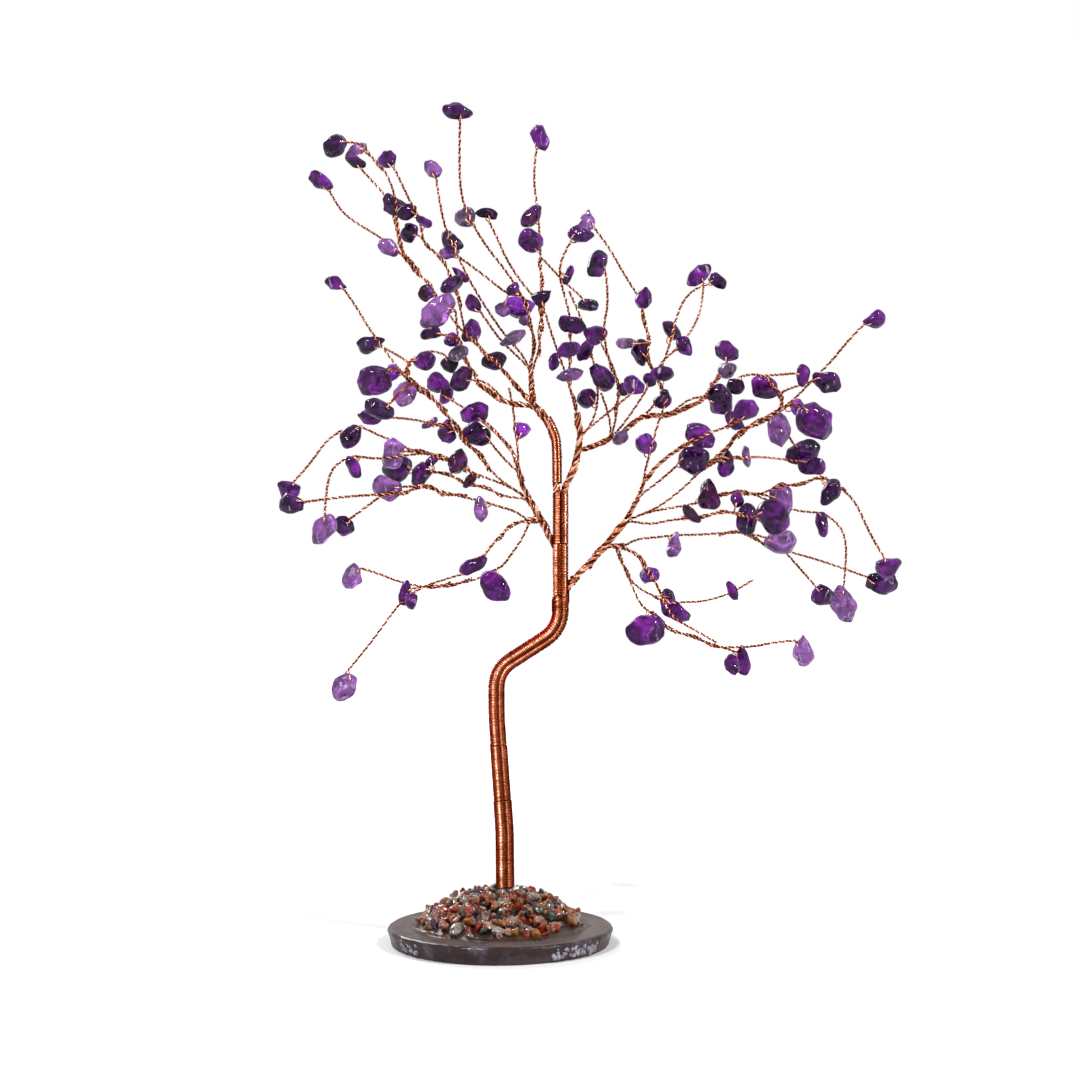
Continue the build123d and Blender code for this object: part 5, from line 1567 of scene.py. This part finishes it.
def bough_piece(name, copper):
    """A bundle of wires that runs up the trunk and leaves it as a bough."""
    shape = Shape()
    line = lines[BOUGH_KEYS[name]]
    rope(shape, line, BUNDLE_WIDTH, BOUGH_STRANDS, len(name))
    if name == "right":
        start = line.near(boughs[name].points[0])
        ring = [(BUNDLE_WIDTH / 2 * math.cos(step), BUNDLE_WIDTH / 2 * math.sin(step))
                for step in full_turn(BUNDLE_STEPS)]
        knot = line.stretch(*(start + run for run in KNOT_RUN), SLEEVE_STEP)
        wind(shape, knot, ring, KNOT_WIRE, KNOT_PITCH, KNOT_TILT, bands=KNOT_BANDS)
    shape.finished(f"{name}_rope", [copper], [f"{name}_bough"])


def wound_piece(name, node, line, spots, layers, finishes, turned=0.0, dent=WRAP_DENT,
                bands=BANDS):
    """A close winding with its dark ground."""
    shape = Shape()
    reach = BUNDLE_WIDTH / 2 + WRAP_SEAT + WRAP_LAYER * layers - WRAP_WIRE / 2
    wind(shape, line, binding(spots, reach, dent, turned), WRAP_WIRE, WRAP_WIRE,
         bands=bands)
    sleeve(shape, line, binding(spots, reach - WRAP_WIRE * SLEEVE_SINK, dent, turned))
    shape.finished(name, finishes, [node])


def slice_piece(agate, crystal):
    """The agate slice: a round of uneven outline with a bevelled rim and crystal pits."""
    shape = Shape()
    points = [(0, 0, 0)]
    for inset, height in SLICE_PROFILE_MM:
        points.extend(rim_point(SLICE_RADIUS - inset * MM, height * MM, angle)
                      for angle in full_turn(SLICE_SIDES))
    points.append((0, 0, SLICE_THICKNESS))
    walls = ring_faces(len(SLICE_PROFILE_MM), SLICE_SIDES)[:-2]
    faces = [[corner + 1 for corner in face] for face in walls]
    last = len(points) - 1
    for side in range(SLICE_SIDES):
        after = (side + 1) % SLICE_SIDES
        faces.append([0, 1 + after, 1 + side])
        faces.append([last - SLICE_SIDES + side, last - SLICE_SIDES + after, last])
    shape.add(points, faces)
    add_crystals(shape)
    shape.finished("agate_round", [agate, crystal], ["agate_slice"])


def rim_point(reach, height, angle):
    """A point of the slice, moved in and out with its uneven outline."""
    way = Vector((math.cos(angle), math.sin(angle), 0))
    share = (reach / SLICE_RADIUS) ** RIM_POWER
    slow = noise.noise(way * RIM_WAVE[0] + Vector((3, 1, 7))) * RIM_WAVE[1]
    quick = noise.noise(way * RIM_NICK[0] + Vector((0, 0, height / NICK_HEIGHT))) * RIM_NICK[1]
    nick_share = min(1, height / NICK_START)
    nick_share *= 1 if height < SLICE_THICKNESS else NICK_TOP_SHARE
    point = way * (reach - share * (RIM_INSET - slow) + share * quick * nick_share)
    return (point.x, point.y, height)


def add_crystals(shape):
    """Small clear points that grow out of the rim where the slice was hollow."""
    picker = np.random.default_rng(CRYSTAL_SEED)
    for start, end, number in CRYSTAL_PITS:
        for _ in range(number):
            angle = math.radians(picker.uniform(start, end))
            height = picker.uniform(*CRYSTAL_HEIGHTS_MM) * MM
            radius = picker.uniform(*CRYSTAL_RADII_MM) * MM
            tall = radius * picker.uniform(*CRYSTAL_TALL)
            out = Vector((math.cos(angle), math.sin(angle), 0))
            lean = Vector(picker.uniform(-CRYSTAL_LEAN, CRYSTAL_LEAN, 3))
            way = (out + lean).normalized()
            across = way.orthogonal().normalized()
            foot = out * (SLICE_RADIUS - CRYSTAL_SEAT + height * CRYSTAL_RAKE)
            foot += Vector((0, 0, height))
            foot -= way * radius * CRYSTAL_NECK
            ring = [foot + Quaternion(way, turn) @ across * radius for turn in full_turn(6)]
            neck = [point + way * tall * CRYSTAL_NECK for point in ring]
            faces = [[step, (step + 1) % 6, 6 + (step + 1) % 6, 6 + step] for step in range(6)]
            faces += [[6 + step, 6 + (step + 1) % 6, 12] for step in range(6)]
            faces.append([5, 4, 3, 2, 1, 0])
            tip = foot + way * tall * CRYSTAL_TIP
            shape.add([tuple(point) for point in ring + neck + [tip]], faces, 1)


def clipped(share):
    return min(1, max(0, share))


def heap_height(x, y):
    """How high the glue stands here above the slice's face."""
    reach = math.hypot(x, y)
    spot = Vector((x, y, 0))
    way = spot.normalized()
    edge = PUDDLE_RADIUS * (
        PUDDLE_EDGE + PUDDLE_LOBE[1] * noise.noise(way * PUDDLE_LOBE[0] + Vector((5, 2, 1)))
        + PUDDLE_FRINGE[1] * noise.noise(way * PUDDLE_FRINGE[0]))
    skin = PUDDLE_HEIGHT * math.sqrt(clipped((edge - reach) / PUDDLE_BANK))
    share = clipped((HEAP_RADIUS - reach) / (HEAP_RADIUS - HEAP_TOP_RADIUS))
    lumps = HEAP_LUMP[1] * noise.noise(spot / HEAP_LUMP[0])
    return skin + share * (HEAP_HEIGHT + lumps)


def glue_piece(glue):
    """The ragged puddle and the heap of glue that the gravel sits in."""
    shape = Shape()
    points = []
    for ring in range(GLUE_RINGS + 1):
        reach = max(PUDDLE_RADIUS * GLUE_REACH * ring / GLUE_RINGS, GLUE_MIDDLE)
        for angle in full_turn(GLUE_SIDES):
            x, y = reach * math.cos(angle), reach * math.sin(angle)
            points.append((x, y, SLICE_THICKNESS - GLUE_SINK + heap_height(x, y)))
    faces = ring_faces(GLUE_RINGS + 1, GLUE_SIDES)
    shape.add(points, [face[::-1] for face in faces])
    shape.finished("glue_mound", [glue], ["glue_heap"])


def gravel_spots(fillers):
    """Each gravel chip: its mineral, angle, reach, height and size."""
    picker = np.random.default_rng(GRAVEL_SEED)
    slope = math.atan2(HEAP_HEIGHT, HEAP_RADIUS - HEAP_TOP_RADIUS)
    spots = []
    for ring in range(HEAP_RINGS):
        climb = PUDDLE_HEIGHT / math.sin(slope) + PEBBLE_RADIUS + ring * PEBBLE_STEP
        ring_radius = HEAP_RADIUS - climb * math.cos(slope)
        ring_height = SLICE_THICKNESS + climb * math.sin(slope)
        around = math.floor(2 * math.pi * ring_radius / PEBBLE_STEP)
        for spot in range(around):
            mineral = MINERAL_ORDER[len(spots) % len(MINERAL_ORDER)]
            angle = 2 * math.pi * (spot + ring / 2 + picker.uniform(*RING_TURNS)) / around
            reach = ring_radius + picker.uniform(*RING_STRAY_MM) * MM
            height = ring_height + picker.uniform(*RING_LIFT_MM) * MM
            size = PEBBLE_RADIUS * picker.uniform(*RING_SIZES)
            spots.append((mineral, angle, reach, height, size))
    for spot in range(fillers):
        part = (spot + picker.uniform(0, 1)) / fillers
        share = math.sqrt(FILLER_START + (1 - FILLER_START) * part)
        angle = spot * GOLDEN_TURN + picker.uniform(*FILLER_TURNS)
        dome = HEAP_HEIGHT * (1 - share ** DOME_POWER) * picker.uniform(*FILLER_DOME)
        size = PEBBLE_RADIUS * picker.uniform(*FILLER_SIZES)
        mineral = FILLER_ORDER[picker.integers(len(FILLER_ORDER))]
        spots.append((mineral, angle, HEAP_RADIUS * share * FILLER_REACH,
                      SLICE_THICKNESS + dome + FILLER_LIFT, size))
    return spots


def gravel_piece(mineral, spots, finish, levels):
    """All the gravel chips of one mineral."""
    mesh = bpy.data.meshes.new("pebbles")
    pebbles = bmesh.new()
    picker = np.random.default_rng(GRAVEL_SEED + len(mineral) * 13 + ord(mineral[0]))
    for _, angle, reach, height, size in spots:
        middle = Vector((reach * math.cos(angle), reach * math.sin(angle), height))
        turn = Quaternion(picker.uniform(-1, 1, 4)).normalized()
        stretch = picker.uniform(*PEBBLE_SHAPES)
        corners = []
        for _ in range(PEBBLE_CORNERS):
            way = Vector(picker.normal(size=3)).normalized()
            corner = Vector(part * wide for part, wide in zip(way, stretch)) * size
            corners.append(pebbles.verts.new(middle + turn @ corner))
        bmesh.ops.convex_hull(pebbles, input=corners)
        for corner in corners:
            if corner.is_valid and not corner.link_faces:
                pebbles.verts.remove(corner)
    pebbles.to_mesh(mesh)
    pebbles.free()
    mesh = softened(mesh, levels)
    weathered(mesh, PEBBLE_DENTS)
    settle(f"{mineral}_gravel", mesh, [finish], [f"gravel_{mineral}"])


# What a user can change, and the operators that build the pieces

class TreeSizes(bpy.types.PropertyGroup):
    """Sizes and fineness of the tree's parts."""

    wire_share: bpy.props.FloatProperty(
        name="Wire thickness", description="Share of the measured thickness of all twigs",
        default=1.0, min=0.6, max=1.0, subtype="FACTOR")
    wrap_pitch: bpy.props.FloatProperty(
        name="Winding pitch", description="Rise of the last open turns below the fork",
        default=0.5 * MM, min=0.35 * MM, max=1.2 * MM, unit="LENGTH", precision=5)
    chip_levels: bpy.props.IntProperty(
        name="Chip smoothness", description="Rounds of subdivision of the polished chips",
        default=3, min=1, max=4)
    gravel_levels: bpy.props.IntProperty(
        name="Gravel smoothness", description="Rounds of subdivision of the gravel chips",
        default=2, min=1, max=3)
    gravel_fillers: bpy.props.IntProperty(
        name="Small gravel", description="How many small chips fill the gaps of the heap",
        default=280, min=0, max=600)


def colour_property(name, description, default):
    return bpy.props.FloatVectorProperty(name=name, description=description, default=default,
                                         size=3, min=0, max=1, subtype="COLOR")


class TreeColours(bpy.types.PropertyGroup):
    """Colours of the tree's finishes."""

    copper: colour_property("Copper", "Drawn copper wire of the twigs", (0.50, 0.17, 0.075))
    winding: colour_property("Winding", "Copper wire wound round the trunk", (0.52, 0.15, 0.055))
    # Pale copper painted where highlights fall on the wire
    clean: colour_property("Highlight copper", "Pale copper painted where highlights fall", (0.95, 0.58, 0.46))
    violet: colour_property("Amethyst", "Most of the polished chips", (0.072, 0.005, 0.112))
    dark: colour_property("Dark amethyst", "The deep chips", (0.026, 0.0015, 0.042))
    red: colour_property("Red amethyst", "The few reddish chips", (0.055, 0.002, 0.035))
    black: colour_property("Black amethyst", "The chips that look black", (0.008, 0.001, 0.011))
    lilac: colour_property("Lilac amethyst", "The pale chips", (0.23, 0.080, 0.31))
    grey: colour_property("Grey amethyst", "The dull pale chips", (0.16, 0.080, 0.19))
    bright: colour_property("Bright amethyst", "The vivid chips", (0.18, 0.015, 0.34))
    agate: colour_property("Agate face", "The slice's polished face", (0.080, 0.059, 0.055))
    rim: colour_property("Agate rim", "The slice's clouded rim", (0.030, 0.014, 0.017))
    glue: colour_property("Glue", "The heap under the gravel", (0.040, 0.021, 0.015))


class TreeOperator:
    """What every operator starts from."""

    bl_options = {"REGISTER", "UNDO"}

    @property
    def sizes(self):
        return bpy.context.scene.tree_sizes

    @property
    def colours(self):
        return bpy.context.scene.tree_colours


class WIRETREE_OT_trunk(TreeOperator, bpy.types.Operator):
    """Winds the trunk, its steps and the last open turns below the fork"""

    bl_idname = "wiretree.trunk"
    bl_label = "Trunk windings"

    def execute(self, context):
        # The second finish is copper darkened as painted shade, for the ground between the turns
        finishes = [copper_finish("wound_copper", self.colours.winding, self.colours.clean),
                    copper_finish("copper_ground", shaded(self.colours.winding, 0.3),
                                  shaded(self.colours.winding, 0.5))]
        four = [(x * COLUMN, y * COLUMN) for x in (-1, 1) for y in (-1, 1)]
        three = [spot for spot in four if spot != (COLUMN, COLUMN)]
        two = [spot for spot in four if spot[1] < 0]
        for name, node, low_px, high_px, layers in (
            ("lower_winding", "lower_wrap", LOWER_WRAP_PX, LOWER_STEP_PX, 2),
            ("middle_winding", "middle_wrap", LOWER_STEP_PX, MIDDLE_STEP_PX, 1.5),
            ("upper_winding", "upper_wrap", MIDDLE_STEP_PX, FORK_PX, 1),
        ):
            wound_piece(name, node, trunk_stretch(low_px, high_px), four, layers, finishes,
                        TRUNK_TURN)
        for name, node, low_px, high_px, spots in (
            ("fork_binding", "fork_wrap", FORK_PX - OVERLAP_PX, LEFT_EXIT_PX, three),
            ("stem_binding", "stem_wrap", LEFT_EXIT_PX - OVERLAP_PX, TRUNK_TOP_PX, two),
        ):
            middle = middle_of(spots)
            line = Line([on_stem(*middle, low_px), on_stem(*middle, (low_px + high_px) / 2),
                         on_stem(*middle, high_px)])
            wound_piece(name, node, line, spots, 1, finishes, dent=STEM_DENT,
                        bands=STEM_BANDS)
        crown = Line(smooth_points(crown_points()))
        wound_piece("crown_binding", "crown_wrap", crown, [(0, 0)], 1.5, finishes)
        shape = Shape()
        reach = BUNDLE_WIDTH / 2 + WRAP_SEAT + WRAP_LAYER + WOUND_WIRE / 4
        wind(shape, trunk_stretch(FORK_PX + WOUND_PX + WOUND_OVER_PX,
                                  FORK_PX - 2 * WOUND_OVER_PX),
             binding(four, reach, WOUND_DENT), WOUND_WIRE, self.sizes.wrap_pitch,
             WOUND_TILT, WOUND_STREAKS)
        shape.finished("fork_turns", finishes, ["fork_winding"])
        return {"FINISHED"}


class WIRETREE_OT_boughs(TreeOperator, bpy.types.Operator):
    """Twists the four bundles that run up the trunk and leave it as boughs"""

    bl_idname = "wiretree.boughs"
    bl_label = "Boughs"

    def execute(self, context):
        copper = copper_finish("bough_copper", self.colours.copper, self.colours.clean)
        for name in BOUGH_KEYS:
            bough_piece(name, copper)
        return {"FINISHED"}


class WIRETREE_OT_twigs(TreeOperator, bpy.types.Operator):
    """Twists the twigs of every spray, with the loops that hold the chips"""

    bl_idname = "wiretree.twigs"
    bl_label = "Twigs and loops"

    def execute(self, context):
        copper = copper_finish("twig_copper", self.colours.copper, self.colours.clean)
        for side in sides:
            for group in groups_of(side):
                twig_piece(side, group, self.sizes.wire_share, copper)
        return {"FINISHED"}


class WIRETREE_OT_chips(TreeOperator, bpy.types.Operator):
    """Shapes the polished amethyst chips of every spray"""

    bl_idname = "wiretree.chips"
    bl_label = "Amethyst chips"

    def execute(self, context):
        tones = {}
        for tone, (clear, share, milk, glow) in TONE_FINISHES.items():
            tones[tone] = crystal_finish(
                f"{tone}_amethyst", getattr(self.colours, tone),
                shaded(getattr(self.colours, clear), share), milk, glow)
        for side in sides:
            for group in groups_of(side):
                chip_piece(side, group, tones, self.sizes.chip_levels)
        return {"FINISHED"}


class WIRETREE_OT_slice(TreeOperator, bpy.types.Operator):
    """Shapes the agate slice with its crystal pits"""

    bl_idname = "wiretree.slice"
    bl_label = "Agate slice"

    def execute(self, context):
        crystal = mineral_finish("rim_crystal", (0.30, 0.27, 0.34), (0.55, 0.52, 0.62),
                                 (0.75, 0.74, 0.80), 0.5)
        slice_piece(agate_finish("agate", self.colours.agate, self.colours.rim), crystal)
        return {"FINISHED"}


class WIRETREE_OT_heap(TreeOperator, bpy.types.Operator):
    """Pours the glue and lays the gravel in it"""

    bl_idname = "wiretree.heap"
    bl_label = "Glue and gravel"

    def execute(self, context):
        glue_piece(glue_finish("glue", self.colours.glue))
        spots = gravel_spots(self.sizes.gravel_fillers)
        for mineral, colours in MINERAL_COLOURS.items():
            finish = mineral_finish(f"{mineral}_stone", *colours)
            gravel_piece(mineral, [spot for spot in spots if spot[0] == mineral], finish,
                         self.sizes.gravel_levels)
        return {"FINISHED"}


class WIRETREE_OT_stage(TreeOperator, bpy.types.Operator):
    """Sets the pale floor, the soft lamps and the camera"""

    bl_idname = "wiretree.stage"
    bl_label = "Stage"

    def execute(self, context):
        floor = bpy.data.meshes.new("floor")
        reach = FLOOR_REACH
        floor.from_pydata([(-reach, -reach, 0), (reach, -reach, 0), (reach, reach, 0),
                           (-reach, reach, 0)], [], [(0, 1, 2, 3)])
        floor.materials.append(floor_finish())
        ground = stand("floor", floor)
        set_world()
        for name, (place_at, size, watts) in LAMPS.items():
            lamp = bpy.data.lights.new(name, "AREA")
            lamp.shape = "RECTANGLE"
            lamp.size, lamp.size_y = size
            lamp.energy = watts
            lantern = stand(name, lamp)
            lantern.location = place_at
            aim = Vector(LAMP_AIM) - lantern.location
            lantern.rotation_euler = aim.to_track_quat("-Z", "Y").to_euler()
        lens = bpy.data.cameras.new("camera")
        lens.sensor_width = CAMERA_SENSOR
        lens.lens = CAMERA_SENSOR * VIEW_DISTANCE / (PHOTO_PX * PHOTO_M_PER_PX)
        lens.clip_start = 0.01
        camera = stand("camera", lens)
        camera.location = (VIEW_SIDE, -VIEW_DISTANCE, VIEW_HEIGHT)
        camera.rotation_euler = (math.radians(90), 0, 0)
        bpy.context.scene.camera = camera
        bpy.context.scene.view_settings.view_transform = "Standard"
        return {"FINISHED"}


def set_world():
    """White behind everything, and plain soft light from all sides."""
    world = bpy.data.worlds.new("studio")
    bpy.context.scene.world = world
    world.use_nodes = True
    sky = Nodes(world.node_tree)
    background = sky.nodes["Background"]
    sky.put(background.inputs["Strength"], sky.add("MapRange", "Result", {
        "Value": sky.seen_rays(), "To Min": WORLD_LIGHT, "To Max": 1.0}))
    sky.put(background.inputs["Color"], (1, 1, 1, 1))


class WIRETREE_PT_panel(bpy.types.Panel):
    """Lists the tree's sizes, colours and builders"""

    bl_idname = "WIRETREE_PT_panel"
    bl_label = "Gemstone Wire Tree"
    bl_space_type = "VIEW_3D"
    bl_region_type = "UI"
    bl_category = "Wire Tree"

    def draw(self, context):
        for settings in (context.scene.tree_sizes, context.scene.tree_colours):
            box = self.layout.box()
            for name in settings.__annotations__:
                box.prop(settings, name)
        for operator in OPERATORS:
            self.layout.operator(operator.bl_idname)


OPERATORS = (WIRETREE_OT_trunk, WIRETREE_OT_boughs, WIRETREE_OT_twigs, WIRETREE_OT_chips,
             WIRETREE_OT_slice, WIRETREE_OT_heap, WIRETREE_OT_stage)


def register():
    for group in (TreeSizes, TreeColours, *OPERATORS, WIRETREE_PT_panel):
        bpy.utils.register_class(group)
    bpy.types.Scene.tree_sizes = bpy.props.PointerProperty(type=TreeSizes)
    bpy.types.Scene.tree_colours = bpy.props.PointerProperty(type=TreeColours)


def unregister():
    del bpy.types.Scene.tree_colours
    del bpy.types.Scene.tree_sizes
    for group in (WIRETREE_PT_panel, *OPERATORS[::-1], TreeColours, TreeSizes):
        bpy.utils.unregister_class(group)


def main():
    register()
    bpy.ops.wiretree.trunk()
    bpy.ops.wiretree.boughs()
    bpy.ops.wiretree.twigs()
    bpy.ops.wiretree.chips()
    bpy.ops.wiretree.slice()
    bpy.ops.wiretree.heap()
    bpy.ops.wiretree.stage()
    bpy.context.view_layer.update()


if __name__ == "__main__":
    main()
